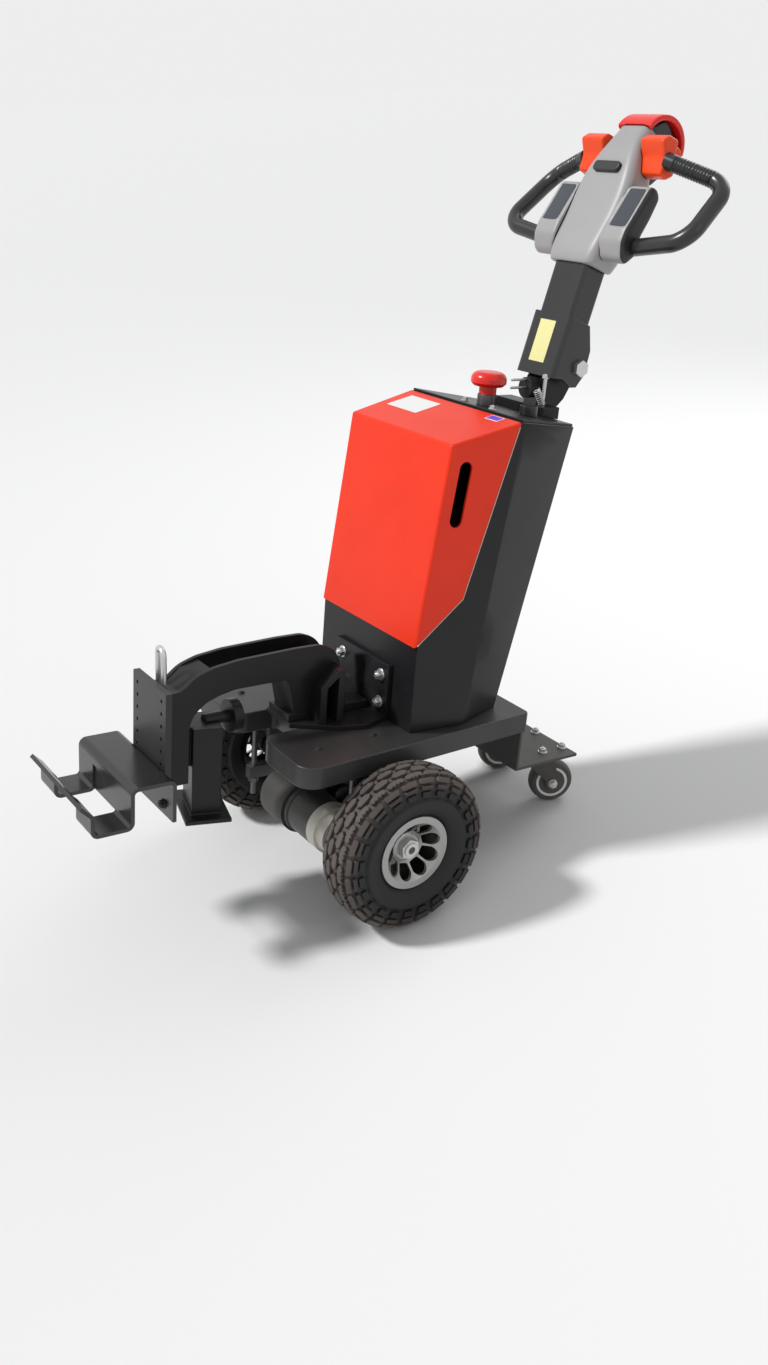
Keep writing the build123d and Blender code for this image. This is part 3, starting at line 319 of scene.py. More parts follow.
# Materials. A finish takes what it doesn't name from plainFinish.
plainFinish = {"metallic": 0.0, "spread": 0.10, "coat": 0.0, "specular": 0.5, "grainScale": 500,
               "grainAmount": 0.6, "bump": 0.05, "dust": 0.0, "scuffs": 0.05}
printedLabel = {"roughness": 0.36, "spread": 0.08, "coat": 0.1, "grainAmount": 0.3, "bump": 0.02,
                "scuffs": 0.06}
finishes = {
    "blackPowder": {"colour": (0.0085, 0.0085, 0.0095), "shade": (0.015, 0.015, 0.017),
                    "roughness": 0.34, "spread": 0.14, "specular": 0.24, "grainScale": 900,
                    "bump": 0.06, "dust": 0.08, "scuffs": 0.20},
    "glossBlack": {"colour": (0.0095, 0.0095, 0.0110), "shade": (0.016, 0.016, 0.018),
                   "roughness": 0.24, "specular": 0.62, "grainScale": 900, "grainAmount": 0.5,
                   "bump": 0.04, "dust": 0.06, "scuffs": 0.20},
    "blackPlate": {"colour": (0.014, 0.014, 0.0155), "shade": (0.028, 0.028, 0.030),
                   "roughness": 0.40, "spread": 0.18, "specular": 0.42, "grainScale": 900,
                   "bump": 0.06, "dust": 0.30, "scuffs": 0.34},
    "coverPaint": {"colour": (0.86, 0.036, 0.006), "shade": (0.76, 0.028, 0.005),
                   "roughness": 0.38, "specular": 0.26, "grainScale": 700, "grainAmount": 0.5,
                   "bump": 0.03, "dust": 0.02, "scuffs": 0.04},
    "headShell": {"colour": (0.300, 0.298, 0.296), "shade": (0.350, 0.348, 0.345),
                  "roughness": 0.42, "grainScale": 1400, "grainAmount": 0.5, "bump": 0.06, "scuffs": 0.06},
    "redMoulding": {"colour": (0.78, 0.018, 0.010), "shade": (0.68, 0.014, 0.008),
                    "roughness": 0.28, "spread": 0.08, "coat": 0.10, "specular": 0.4,
                    "grainScale": 1100, "grainAmount": 0.4, "bump": 0.03},
    "leverMoulding": {"colour": (0.92, 0.070, 0.006), "shade": (0.84, 0.058, 0.006),
                      "roughness": 0.34, "spread": 0.08, "coat": 0.05, "specular": 0.35,
                      "grainScale": 1100, "grainAmount": 0.4, "bump": 0.03},
    "blackMoulding": {"colour": (0.012, 0.012, 0.014), "shade": (0.020, 0.020, 0.022),
                      "roughness": 0.30, "grainScale": 1300, "grainAmount": 0.7, "bump": 0.06,
                      "dust": 0.04, "scuffs": 0.12},
    "displayWindow": {"colour": (0.020, 0.026, 0.040), "shade": (0.030, 0.036, 0.052),
                      "roughness": 0.16, "spread": 0.05, "coat": 0.5, "grainScale": 300,
                      "grainAmount": 0.1, "bump": 0.01},
    "zincPlate": {"colour": (0.52, 0.52, 0.52), "shade": (0.66, 0.66, 0.65), "metallic": 0.85,
                  "roughness": 0.36, "spread": 0.18, "grainScale": 400, "dust": 0.12, "scuffs": 0.30},
    "darkSteel": {"colour": (0.085, 0.085, 0.088), "shade": (0.150, 0.150, 0.150), "metallic": 0.7,
                  "roughness": 0.34, "spread": 0.16, "grainScale": 400, "dust": 0.15, "scuffs": 0.25},
    # The gearcase's near-black colour is painted shade.
    "gearcasePaintedShade": {"colour": (0.016, 0.016, 0.017), "shade": (0.030, 0.030, 0.030),
                    "roughness": 0.50, "spread": 0.15, "specular": 0.3, "grainScale": 420,
                    "grainAmount": 1.0, "bump": 0.12, "dust": 0.20, "scuffs": 0.10},
    "bufferRubber": {"colour": (0.010, 0.010, 0.011), "shade": (0.018, 0.018, 0.018),
                     "roughness": 0.55, "spread": 0.12, "specular": 0.3, "grainScale": 600,
                     "grainAmount": 0.8, "bump": 0.08, "dust": 0.05, "scuffs": 0.10},
    "casterPolymer": {"colour": (0.020, 0.020, 0.021), "shade": (0.045, 0.044, 0.042),
                      "roughness": 0.50, "spread": 0.15, "specular": 0.4, "grainAmount": 0.8,
                      "bump": 0.06, "dust": 0.35, "scuffs": 0.20},
    "batteryCase": {"colour": (0.03, 0.03, 0.032), "shade": (0.05, 0.05, 0.052), "roughness": 0.5,
                    "specular": 0.4, "scuffs": 0.0},
    # Pale colour of the cover's edge strip: partly bare metal, partly painted highlight.
    "bareEdgeAndHighlight": {"colour": (0.42, 0.38, 0.34), "shade": (0.62, 0.58, 0.52), "metallic": 0.2,
                 "roughness": 0.45, "spread": 0.2, "grainScale": 260, "grainAmount": 0.8, "scuffs": 0.3},
    "whiteLabel": {**printedLabel, "colour": (0.80, 0.80, 0.79), "shade": (0.75, 0.75, 0.74),
                   "roughness": 0.38},
    "paleYellowLabel": {**printedLabel, "colour": (0.84, 0.80, 0.36), "shade": (0.76, 0.73, 0.33)},
    "violetLabel": {**printedLabel, "colour": (0.13, 0.05, 0.66), "shade": (0.17, 0.08, 0.70)},
}
# Finishes in two colours: beyond the effect's start, the second colour covers the first.
partings = {
    # Rim: the dark first colour inside the dish is painted shade, and the silver beyond it is the rim's own
    # colour.
    "rimSilverAndPaintedShade": {"effect": "dishedFace", "start": 0.2010, "width": 0.0008,
                 "colour": (0.010, 0.010, 0.010), "shade": (0.016, 0.016, 0.016),
                 "beyond": (0.36, 0.36, 0.355), "metallic": 0.75, "roughness": 0.38},
    # Motor: the black first colour on its inner part is painted shade, and the cream beyond it is the
    # motor's own colour.
    "motorCreamAndPaintedShade": {"effect": "sideBand", "start": 0.1010, "width": 0.0006,
                     "colour": (0.016, 0.016, 0.017), "shade": (0.024, 0.024, 0.024),
                     "beyond": (0.68, 0.66, 0.58), "metallic": 0.0, "roughness": 0.42},
    "wingShell": {"effect": "sideBand", "start": 0.0992, "width": 0.0006,
                  "colour": (0.300, 0.298, 0.296), "shade": (0.350, 0.348, 0.345),
                  "beyond": (0.013, 0.013, 0.014), "metallic": 0.0, "roughness": 0.42},
}
partedWear = {"dust": 0.2, "spread": 0.12, "bump": 0.06}
wear = {"rubbedGain": 1.5, "rubbedLift": 0.03, "scuffRoughness": 0.2, "dustRoughness": 0.5,
        "coatRoughness": 0.12, "reliefDepth": 0.0004}
# Finishes that get painted shade in their creases and in the joints with their neighbours, found by ambient
# occlusion.
creaseShade = {"finishes": ("headShell", "wingShell"), "colour": (0.012, 0.012, 0.012)}


def newMaterial(name, colour):
    material = bpy.data.materials.new(name)
    material.use_nodes = True
    material.diffuse_color = (*colour, 1)
    return material, material.node_tree, material.node_tree.nodes["Principled BSDF"]


def addEffect(tree, effect, **values):
    node = tree.nodes.new("ShaderNodeGroup")
    node.node_tree = effects[effect]
    for label, value in values.items():
        node.inputs[label].default_value = value
    return node


# Mixes the painted crease shade into a finish's colour.
def shadeCreases(tree, name, colour):
    if name not in creaseShade["finishes"]:
        return colour
    crease = addEffect(tree, "creases")
    return mixColour(tree, crease.outputs["Mask"], colour, (*creaseShade["colour"], 1))


def addRelief(tree, shader, height, strength, depth=wear["reliefDepth"]):
    relief = tree.nodes.new("ShaderNodeBump")
    relief.inputs["Strength"].default_value = strength
    relief.inputs["Distance"].default_value = depth
    tree.links.new(height, relief.inputs["Height"])
    tree.links.new(relief.outputs["Normal"], shader.inputs["Normal"])


def makeFinish(name):
    finish = {**plainFinish, **finishes[name]}
    colour = finish["colour"]
    material, tree, shader = newMaterial(name, colour)
    shader.inputs["Metallic"].default_value = finish["metallic"]
    shader.inputs["Coat Weight"].default_value = finish["coat"]
    shader.inputs["Coat Roughness"].default_value = wear["coatRoughness"]
    shader.inputs["Specular IOR Level"].default_value = finish["specular"]
    grain = addEffect(tree, "grain", Scale=finish["grainScale"], Amount=finish["grainAmount"])
    scuff = addEffect(tree, "scuffs", Amount=finish["scuffs"])
    film = addEffect(tree, "dust", Amount=finish["dust"])
    rubbed = tuple(min(1.0, c * wear["rubbedGain"] + wear["rubbedLift"]) for c in colour) + (1,)
    mixed = mixColour(tree, grain.outputs["Variation"], (*colour, 1), (*finish["shade"], 1))
    mixed = mixColour(tree, scuff.outputs["Mask"], mixed, rubbed)
    mixed = shadeCreases(tree, name, mixed)
    tree.links.new(mixed, film.inputs["Colour"])
    tree.links.new(film.outputs["Colour"], shader.inputs["Base Color"])
    scuffed = mathNode(tree, "MULTIPLY", scuff.outputs["Mask"], wear["scuffRoughness"])
    dusted = mathNode(tree, "MULTIPLY", film.outputs["Mask"], wear["dustRoughness"])
    rough = mathNode(tree, "MULTIPLY", grain.outputs["Variation"], finish["spread"])
    rough = mathNode(tree, "ADD", rough, finish["roughness"] - finish["spread"] / 2)
    rough = mathNode(tree, "ADD", rough, scuffed)
    rough = mathNode(tree, "ADD", rough, dusted, True)
    tree.links.new(rough, shader.inputs["Roughness"])
    addRelief(tree, shader, grain.outputs["Height"], finish["bump"])
    return material


def makePartedFinish(name):
    finish = {**partedWear, **partings[name]}
    material, tree, shader = newMaterial(name, finish["colour"])
    shader.inputs["Metallic"].default_value = finish["metallic"]
    grain = addEffect(tree, "grain")
    band = addEffect(tree, finish["effect"], From=finish["start"], Width=finish["width"])
    film = addEffect(tree, "dust", Amount=finish["dust"])
    mixed = mixColour(tree, grain.outputs["Variation"], (*finish["colour"], 1), (*finish["shade"], 1))
    mixed = mixColour(tree, band.outputs["Mask"], mixed, (*finish["beyond"], 1))
    mixed = shadeCreases(tree, name, mixed)
    tree.links.new(mixed, film.inputs["Colour"])
    tree.links.new(film.outputs["Colour"], shader.inputs["Base Color"])
    rough = mathNode(tree, "MULTIPLY", grain.outputs["Variation"], finish["spread"])
    rough = mathNode(tree, "ADD", rough, finish["roughness"] - finish["spread"] / 2)
    tree.links.new(rough, shader.inputs["Roughness"])
    addRelief(tree, shader, grain.outputs["Height"], finish["bump"])
    return material


# Tyre rubber: dark in its grooves and on its side walls, and lighter with wear towards the tread.
rubber = {"dark": (0.0125, 0.0125, 0.0135), "worn": (0.120, 0.102, 0.092), "wornFrom": 0.1040,
          "wornOver": 0.0217, "wornEvenness": 0.25, "roughness": 0.5, "wornRoughness": 0.25,
          "specular": 0.3, "grainScale": 800.0, "grainAmount": 1.0, "bump": 0.15, "reliefDepth": 0.0006}


def makeTyreFinish():
    material, tree, shader = newMaterial("treadRubber", rubber["dark"])
    shader.inputs["Specular IOR Level"].default_value = rubber["specular"]
    grain = addEffect(tree, "grain", Scale=rubber["grainScale"], Amount=rubber["grainAmount"])
    tread = addEffect(tree, "wheelRadius", From=rubber["wornFrom"], Width=rubber["wornOver"])
    patches = mathNode(tree, "ADD", grain.outputs["Variation"], rubber["wornEvenness"], True)
    worn = mathNode(tree, "MULTIPLY", tread.outputs["Mask"], patches, True)
    colour = mixColour(tree, worn, (*rubber["dark"], 1), (*rubber["worn"], 1))
    tree.links.new(colour, shader.inputs["Base Color"])
    rough = mathNode(tree, "MULTIPLY", worn, rubber["wornRoughness"])
    rough = mathNode(tree, "ADD", rough, rubber["roughness"])
    tree.links.new(rough, shader.inputs["Roughness"])
    addRelief(tree, shader, grain.outputs["Height"], rubber["bump"], rubber["reliefDepth"])
    return material


materials = {name: makeFinish(name) for name in finishes}
materials.update({name: makePartedFinish(name) for name in partings})
materials["treadRubber"] = makeTyreFinish()
print("stage: materials")


# Mesh helpers
def finishMesh(name, bm, finish, body, smoothAngle, replaces=()):
    bmesh.ops.recalc_face_normals(bm, faces=bm.faces)
    mesh = bpy.data.meshes.new(name)
    bm.to_mesh(mesh)
    bm.free()
    for face in mesh.polygons:
        face.use_smooth = True
    mesh.set_sharp_from_angle(angle=math.radians(smoothAngle))
    mesh.materials.append(materials[finish])
    piece = bpy.data.objects.new(name, mesh)
    bpy.context.scene.collection.objects.link(piece)
    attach(piece, body)
    if replaces:
        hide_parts(*replaces)


# Joins closed rings of points one after the other. capEnds closes the ends, and wrap joins last to first.
def ringLoft(bm, rings, capEnds=True, wrap=False):
    made = [[bm.verts.new(p) for p in ring] for ring in rings]
    count = len(made[0])
    following = made[1:] + made[:1] if wrap else made[1:]
    for before, after in zip(made, following):
        for i in range(count):
            j = (i + 1) % count
            bm.faces.new((before[i], before[j], after[j], after[i]))
    if capEnds:
        bm.faces.new(list(reversed(made[0])))
        bm.faces.new(made[-1])


def axes(direction):
    along = Vector(direction).normalized()
    side = along.cross(Vector((0, 0, 1)) if abs(along.z) < 0.9 else Vector((1, 0, 0))).normalized()
    return side, along.cross(side).normalized(), along


def ringAt(centre, u, v, radius, count, start=0.0):
    angles = [start + 2 * math.pi * i / count for i in range(count)]
    return [centre + (u * math.cos(a) + v * math.sin(a)) * radius for a in angles]


def turnedPiece(bm, base, direction, profile, count):
    u, v, w = axes(direction)
    ringLoft(bm, [ringAt(base + w * reach, u, v, radius, count) for reach, radius in profile])


def filletPath(points, radius, step):
    samples = [points[0]]
    for before, corner, after in zip(points, points[1:], points[2:]):
        inWay = (corner - before).normalized()
        outWay = (after - corner).normalized()
        turn = inWay.angle(outWay)
        reach = radius * math.tan(turn / 2)
        start = corner - inWay * reach
        end = corner + outWay * reach
        centre = corner + (outWay - inWay).normalized() * (radius / math.cos(turn / 2))
        startWay = (start - centre).normalized()
        endWay = (end - centre).normalized()
        steps = max(2, int(radius * turn / step))
        samples.append(start)
        samples += [centre + startWay.slerp(endWay, i / steps) * radius for i in range(1, steps)]
        samples.append(end)
    samples.append(points[-1])
    dense = [samples[0]]
    for a, b in zip(samples, samples[1:]):
        parts = max(1, int((b - a).length / step))
        dense += [a.lerp(b, (k + 1) / parts) for k in range(parts)]
    return dense


def sweepTube(bm, path, radiusAt, count):
    side = axes(path[1] - path[0])[0]
    rings = []
    reach = 0.0
    for i, p in enumerate(path):
        before = path[max(i - 1, 0)]
        after = path[min(i + 1, len(path) - 1)]
        way = (after - before).normalized()
        side = (side - way * side.dot(way)).normalized()
        reach += (p - before).length
        rings.append(ringAt(p, side, way.cross(side), radiusAt(reach), count))
    ringLoft(bm, rings)


# Tyres
# The tread is laid out flat: s runs across it from the middle line, t along it, and both are metres.
tyreShape = {"centreX": 0.216, "radius": 0.134, "crownRadius": 0.1024, "crownAngle": math.radians(13.9),
             "shoulderRadius": 0.018, "wallSwell": 0.10, "grooveDepth": 0.0062, "wallDepth": 0.0040,
             # where the half section has points, across the tread
             "wallPlaces": (0.064, 0.059, 0.054),
             "groovePlaces": (0.048, 0.043, 0.038, 0.034, 0.030, 0.025, 0.018, 0.009, 0.0),
             "carcassSteps": 160}
tread = {"repeats": 24, "gap": 0.0050, "pitchRadius": 0.130, "stagger": 0.25, "foot": 0.0075,
         "top": 0.0001, "chamfer": 0.0011,
         "middle": {"across": (0.0018, 0.0128), "shoulder": 0.58},
         "serrated": {"across": (0.0162, 0.0266), "shoulder": 0.60, "nose": 0.0022,
                      "teeth": 4, "toothDepth": 0.0026},
         "lugCorner": 0.0018,
         # across from, across to, length as a share of a repeat, shift, how deep its foot is
         "lugs": [(0.0318, 0.0408, 0.94, 0.25, 0.0075), (0.0448, 0.0516, 0.88, 0.25, 0.0062),
                  (0.0548, 0.0645, 0.72, 0.25, 0.0040)]}
# Width from the wheel's middle plane and radius, from the shoulder down to the rim.
sidewall = [(0.0362, 0.0950), (0.0402, 0.0905), (0.0399, 0.0820), (0.0372, 0.0725),
            (0.0325, 0.0665), (0.0270, 0.0625), (0.0270, 0.0585)]


def treadPoint(s, depth):
    shape = tyreShape
    start = shape["crownAngle"]
    crown = shape["crownRadius"] * start
    wall = crown + (math.pi / 2 - start) * shape["shoulderRadius"]
    a = abs(s)
    if a <= crown:
        angle = a / shape["crownRadius"]
        u = shape["crownRadius"] * math.sin(angle)
        r = shape["radius"] - shape["crownRadius"] * (1 - math.cos(angle))
    else:
        past = max(0.0, a - wall)
        angle = start + (min(a, wall) - crown) / shape["shoulderRadius"]
        u = shape["crownRadius"] * math.sin(start)
        u += shape["shoulderRadius"] * (math.sin(angle) - math.sin(start)) + past * shape["wallSwell"]
        r = shape["radius"] - shape["crownRadius"] * (1 - math.cos(start))
        r -= shape["shoulderRadius"] * (math.cos(start) - math.cos(angle)) + past
    u -= depth * math.sin(angle)
    r -= depth * math.cos(angle)
    return math.copysign(u, s), r


def wheelPoint(side, u, r, turn):
    return Vector((side * (tyreShape["centreX"] + u), r * math.cos(turn) - stance["originY"] / 1000,
                   r * math.sin(turn) + stance["axleHeight"] / 1000))


def treadBlock(bm, side, turn, outline, foot):
    rings = []
    middleS = sum(p[0] for p in outline) / len(outline)
    middleT = sum(p[1] for p in outline) / len(outline)
    inset = tread["chamfer"]
    for move, depth in ((0.0, foot), (0.0, inset), (inset, tread["top"])):
        ring = []
        for s, t in outline:
            way = Vector((middleS - s, middleT - t)).normalized() * move
            u, r = treadPoint(s + way.x, depth)
            ring.append(wheelPoint(side, u, r, turn + (t + way.y) / tread["pitchRadius"]))
        rings.append(ring)
    ringLoft(bm, rings)


def middleOutline(reach):
    inner, outer = tread["middle"]["across"]
    middle = (inner + outer) / 2
    shoulder = reach * tread["middle"]["shoulder"]
    return [(inner, -shoulder), (middle, -reach), (outer, -shoulder),
            (outer, shoulder), (middle, reach), (inner, shoulder)]


def serratedOutline(reach):
    row = tread["serrated"]
    inner, outer = row["across"]
    shoulder = reach * row["shoulder"]
    nose = inner + row["nose"]
    root = outer - row["toothDepth"]
    outline = [(inner, -shoulder), (nose, -reach)]
    for k in range(row["teeth"]):
        outline.append((root, -reach + 2 * reach * k / row["teeth"]))
        outline.append((outer, -reach + 2 * reach * (k + 0.5) / row["teeth"]))
    return outline + [(root, reach), (nose, reach), (inner, shoulder)]


def lugOutline(first, last, reach):
    corner = tread["lugCorner"]
    return [(first, -reach + corner), (first + corner, -reach), (last - corner, -reach),
            (last, -reach + corner), (last, reach - corner), (last - corner, reach),
            (first + corner, reach), (first, reach - corner)]


def makeCarcass(bm, side):
    shape = tyreShape
    half = list(reversed(sidewall))
    half += [treadPoint(s, shape["wallDepth"]) for s in shape["wallPlaces"]]
    half += [treadPoint(s, shape["grooveDepth"]) for s in shape["groovePlaces"]]
    section = half + [(-u, r) for u, r in reversed(half[:-1])]
    turns = [2 * math.pi * i / shape["carcassSteps"] for i in range(shape["carcassSteps"])]
    ringLoft(bm, [[wheelPoint(side, u, r, turn) for u, r in section] for turn in turns], False, True)


def makeTyre(name, side):
    bm = bmesh.new()
    makeCarcass(bm, side)
    pitch = 2 * math.pi / tread["repeats"]
    reach = (pitch * tread["pitchRadius"] - tread["gap"]) / 2
    stagger = tread["stagger"]
    # shift, outline and foot of every block in one repeat
    blocks = [(stagger, middleOutline(reach), tread["foot"]),
              (-stagger, serratedOutline(reach), tread["foot"])]
    for first, last, share, shift, foot in tread["lugs"]:
        blocks.append((shift, lugOutline(first, last, reach * share), foot))
    for i in range(tread["repeats"]):
        for hand in (1, -1):
            for shift, outline, foot in blocks:
                treadBlock(bm, side, pitch * (i + shift * hand), [(hand * s, t) for s, t in outline], foot)
    hub = "left" if side > 0 else "right"
    finishMesh(name, bm, "treadRubber", "wheel_" + hub, 30, ["tyre_" + hub])


makeTyre("treadedTyreLeft", 1)
makeTyre("treadedTyreRight", -1)
print("stage: tyres")


# Handles, along points in level millimetres
handleShape = {"points": [(96, 432, 1013), (206, 429, 1030), (192, 517, 1112), (88, 486, 1141)],
               "bend": 0.034, "radius": 0.0131, "ribPitch": 0.0052, "ribHeight": 0.0017,
               "ribStart": 0.228, "ribEnd": 0.300, "step": 0.0011, "sides": 28}


def handleRadius(reach):
    s = handleShape
    if s["ribStart"] < reach < s["ribEnd"]:
        wave = 0.5 + 0.5 * math.cos(2 * math.pi * reach / s["ribPitch"])
        return s["radius"] - s["ribHeight"] * (1 - wave)
    return s["radius"]


def makeHandle(name, side):
    points = [tip(side * x, y, z) for x, y, z in handleShape["points"]]
    path = filletPath(points, handleShape["bend"], handleShape["step"])
    bm = bmesh.new()
    sweepTube(bm, path, handleRadius, handleShape["sides"])
    finishMesh(name, bm, "blackMoulding", "tiller", 60,
               ["handle_left" if side > 0 else "handle_right"])


makeHandle("ribbedHandleLeft", 1)
makeHandle("ribbedHandleRight", -1)
print("stage: handles")


# Bolts, nuts and screws: a washer, a chamfered hexagon and the bolt's round end above it.
# Lengths are in metres, and the rest are shares of the head's height and width across its flats.
boltForm = {"washer": 0.0016, "washerBevel": 0.0004, "turn": 0.26, "chamferFrom": 0.82,
            "chamferTop": 0.88, "endSink": 0.0002, "endRadius": 0.30, "endHeight": 0.25,
            "endTop": 0.32, "endTopRadius": 0.25, "sides": 28, "endSides": 20}
boltSet = {
    # name: finish, way, across flats, height and washer in mm, places in mm
    "hitchWallBolts": ("zincPlate", (0, -1, 0), (13, 8, 20),
                       [(x, 48, z) for x in (-56, 56) for z in (303, 350)]),
    "casterPlateBolts": ("zincPlate", (0, 0, 1), (11, 6, 17),
                         [(x + dx, 397.6 + dy, 168.9) for x in (-73.5, 73.5)
                          for dx in (-35.5, 35.5) for dy in (-22.5, 22.5)]),
    "hookPlateBolts": ("blackPlate", (0, -1, 0), (11, 5, 16), [(x, -333, 210) for x in (-64, 64)]),
    "platePlugs": ("blackPlate", (0, 0, 1), (8, 2, 11),
                   [(121, -105, 276.5), (113, 0, 276.5), (-121, -105, 276.5), (-113, 0, 276.5)]),
    "deckScrews": ("zincPlate", (0, 0.14, 1), (8, 4, 13), [(-34, 236, 761.8), (48, 226, 763.2)]),
}


def hexHead(bm, base, direction, flats, height, washer):
    form = boltForm
    rim = washer / 2
    turnedPiece(bm, base, direction,
                [(0, rim), (form["washer"] - form["washerBevel"], rim),
                 (form["washer"], rim - form["washerBevel"])], form["sides"])
    u, v, w = axes(direction)
    base = base + w * form["washer"]
    corner = flats / 2 / math.cos(math.pi / 6)
    ringLoft(bm, [ringAt(base + w * reach, u, v, corner * scale, 6, form["turn"])
                  for reach, scale in ((0, 1.0), (height * form["chamferFrom"], 1.0),
                                       (height, form["chamferTop"]))])
    turnedPiece(bm, base + w * (height - form["endSink"]), direction,
                [(0, flats * form["endRadius"]), (height * form["endHeight"], flats * form["endRadius"]),
                 (height * form["endTop"], flats * form["endTopRadius"])], form["endSides"])


for name, (finish, way, sizes, places) in boltSet.items():
    bm = bmesh.new()
    for place in places:
        hexHead(bm, tip(*place), tipDirection(*way), *[size / 1000 for size in sizes])
    finishMesh(name, bm, finish, "chassis", 30)


# Fittings in front of the tiller's foot: places in level millimetres, radii in metres
fittings = {"screwTip": 300.0, "screwRoot": 333.0, "screwRows": (799.0, 786.5), "screwRadius": 0.0021,
            "screwBevel": 0.0006, "screwEnd": 0.7, "rodFoot": (31, 344, 762), "rodHead": (31, 345, 806),
            "rodRadius": 0.0030, "rodNut": (0.009, 0.004, 0.012), "sides": 16,
            "springFoot": (33, 343, 763), "springHead": (33, 327, 788), "springRadius": 0.0052,
            "springTurns": 8, "turnSteps": 14, "wireRadius": 0.0009, "wireSides": 8}


def makeScrewsAndRod():
    bm = bmesh.new()
    r = fittings["screwRadius"]
    for z in fittings["screwRows"]:
        root = tip(0, fittings["screwRoot"], z)
        way = tip(0, fittings["screwTip"], z) - root
        bevel = way.length - fittings["screwBevel"]
        turnedPiece(bm, root, way, [(0, r), (bevel, r), (way.length, r * fittings["screwEnd"])],
                    fittings["sides"])
    head = tip(*fittings["rodHead"])
    foot = tip(*fittings["rodFoot"])
    r = fittings["rodRadius"]
    hexHead(bm, head, tipDirection(0, 0, 1), *fittings["rodNut"])
    turnedPiece(bm, foot, head - foot, [(0, r), ((head - foot).length, r)], fittings["sides"])
    finishMesh("stopScrewsAndRod", bm, "zincPlate", "chassis", 30)


def makeSpring():
    foot = tip(*fittings["springFoot"])
    head = tip(*fittings["springHead"])
    u, v, w = axes(head - foot)
    steps = fittings["springTurns"] * fittings["turnSteps"]
    path = []
    for i in range(steps + 1):
        a = 2 * math.pi * i / fittings["turnSteps"]
        around = (u * math.cos(a) + v * math.sin(a)) * fittings["springRadius"]
        path.append(foot.lerp(head, i / steps) + around)
    bm = bmesh.new()
    sweepTube(bm, path, lambda reach: fittings["wireRadius"], fittings["wireSides"])
    finishMesh("returnSpring", bm, "zincPlate", "chassis", 60)


makeScrewsAndRod()
makeSpring()


# A pale ring on both sides of each caster wheel and a nut on each end of its axle. The ring is its
# inner and outer radius, and the nut its width across flats, height and washer, in metres.
casterTrim = {"heading": math.radians(63), "wheelHalfWidth": 0.013, "ring": (0.024, 0.0285),
              "proud": 0.0004, "ringSides": 48, "cheekOutside": 0.020, "nut": (0.013, 0.006, 0.017)}


def middleOf(node):
    corners = [node.matrix_world @ Vector(c) for c in node.bound_box]
    return sum(corners, Vector()) / len(corners)


def makeCasterTrim(name):
    t = casterTrim
    inner, outer = t["ring"]
    profile = [(0, inner), (t["proud"], inner), (t["proud"], outer), (0, outer)]
    middle = middleOf(nodes["caster_wheel_" + name])
    rings = bmesh.new()
    nuts = bmesh.new()
    for hand in (1, -1):
        way = tipDirection(-math.sin(t["heading"]) * hand, math.cos(t["heading"]) * hand, 0)
        face = middle + way * t["wheelHalfWidth"]
        u, v, w = axes(way)
        ringLoft(rings, [ringAt(face + w * reach, u, v, radius, t["ringSides"])
                         for reach, radius in profile], False)
        hexHead(nuts, middle + way * t["cheekOutside"], way, *t["nut"])
    finishMesh("casterRings_" + name, rings, "whiteLabel", "caster_roll_" + name, 30)
    finishMesh("casterNuts_" + name, nuts, "zincPlate", "caster_" + name, 30)


makeCasterTrim("left")
makeCasterTrim("right")

# The cover's sheet edge, on its side and towards its rear, as places in millimetres: a pale strip that is
# partly the bare edge and partly a painted highlight where the edge catches light.
coverEdge = {"path": [(134.2, 55.0, 423.0), (139.9, 131.0, 492.0), (143.6, 203.6, 755.0)],
             "radius": 0.0007, "sides": 10}


def makeCoverEdges():
    bm = bmesh.new()
    r = coverEdge["radius"]
    for side in (1, -1):
        spots = [tip(side * x, y, z) for x, y, z in coverEdge["path"]]
        for start, end in zip(spots, spots[1:]):
            way = end - start
            turnedPiece(bm, start, way, [(0, r), (way.length, r)], coverEdge["sides"])
    finishMesh("coverBareEdgesAndHighlight", bm, "bareEdgeAndHighlight", "chassis", 60)


makeCoverEdges()


# Labels, left blank, on the front of the tiller's sleeve and on the sloping top of the cover
sleeveFront = {"place": (380.0, 924.0), "slope": 0.263, "depth": 5.2}
coverTop = {"front": (85.9, 731.5), "rear": (205.4, 761.3), "way": (0, -0.25, 1)}
labelForm = {"clearance": 0.1, "thickness": 0.0004}
labels = [
    # name, finish, surface, x from and to, z from and to (sleeve) or y from and to (cover), lift, in mm
    ("sleeveLabel", "paleYellowLabel", "sleeve", (-20, 16), (828, 893), 0.0),
    ("coverLabel", "whiteLabel", "cover", (-114, -35), (140, 189), 0.0),
    ("smallLabelBorder", "whiteLabel", "cover", (78, 108), (186.5, 202.5), 0.0),
    ("smallCoverLabel", "violetLabel", "cover", (80, 106), (188.5, 200.5), 0.4),
]


def sleeveSpot(x, z, lift):
    y, startZ = sleeveFront["place"]
    slope = sleeveFront["slope"]
    y += (z - startZ) * slope - sleeveFront["depth"] * math.hypot(1, slope)
    return tip(x, y - labelForm["clearance"] - lift, z)


def coverSpot(x, y, lift):
    frontY, frontZ = coverTop["front"]
    rearY, rearZ = coverTop["rear"]
    z = frontZ + (y - frontY) * (rearZ - frontZ) / (rearY - frontY)
    return tip(x, y, z + labelForm["clearance"] + lift)


def makeLabel(name, finish, surface, across, along, lift):
    if surface == "sleeve":
        spotAt, way, body, slot = sleeveSpot, (0, -1, sleeveFront["slope"]), "tiller", "head"
    else:
        spotAt, way, body, slot = coverSpot, coverTop["way"], "chassis", "cover"
    (left, right), (first, last) = across, along
    back = [spotAt(x, place, lift)
            for x, place in ((left, first), (right, first), (right, last), (left, last))]
    thickness = tipDirection(*way).normalized() * labelForm["thickness"]
    bm = bmesh.new()
    ringLoft(bm, [back, [corner + thickness for corner in back]])
    finishMesh(name, bm, finish, body, 30)


for label in labels:
    makeLabel(*label)
print("stage: fastenings and labels")


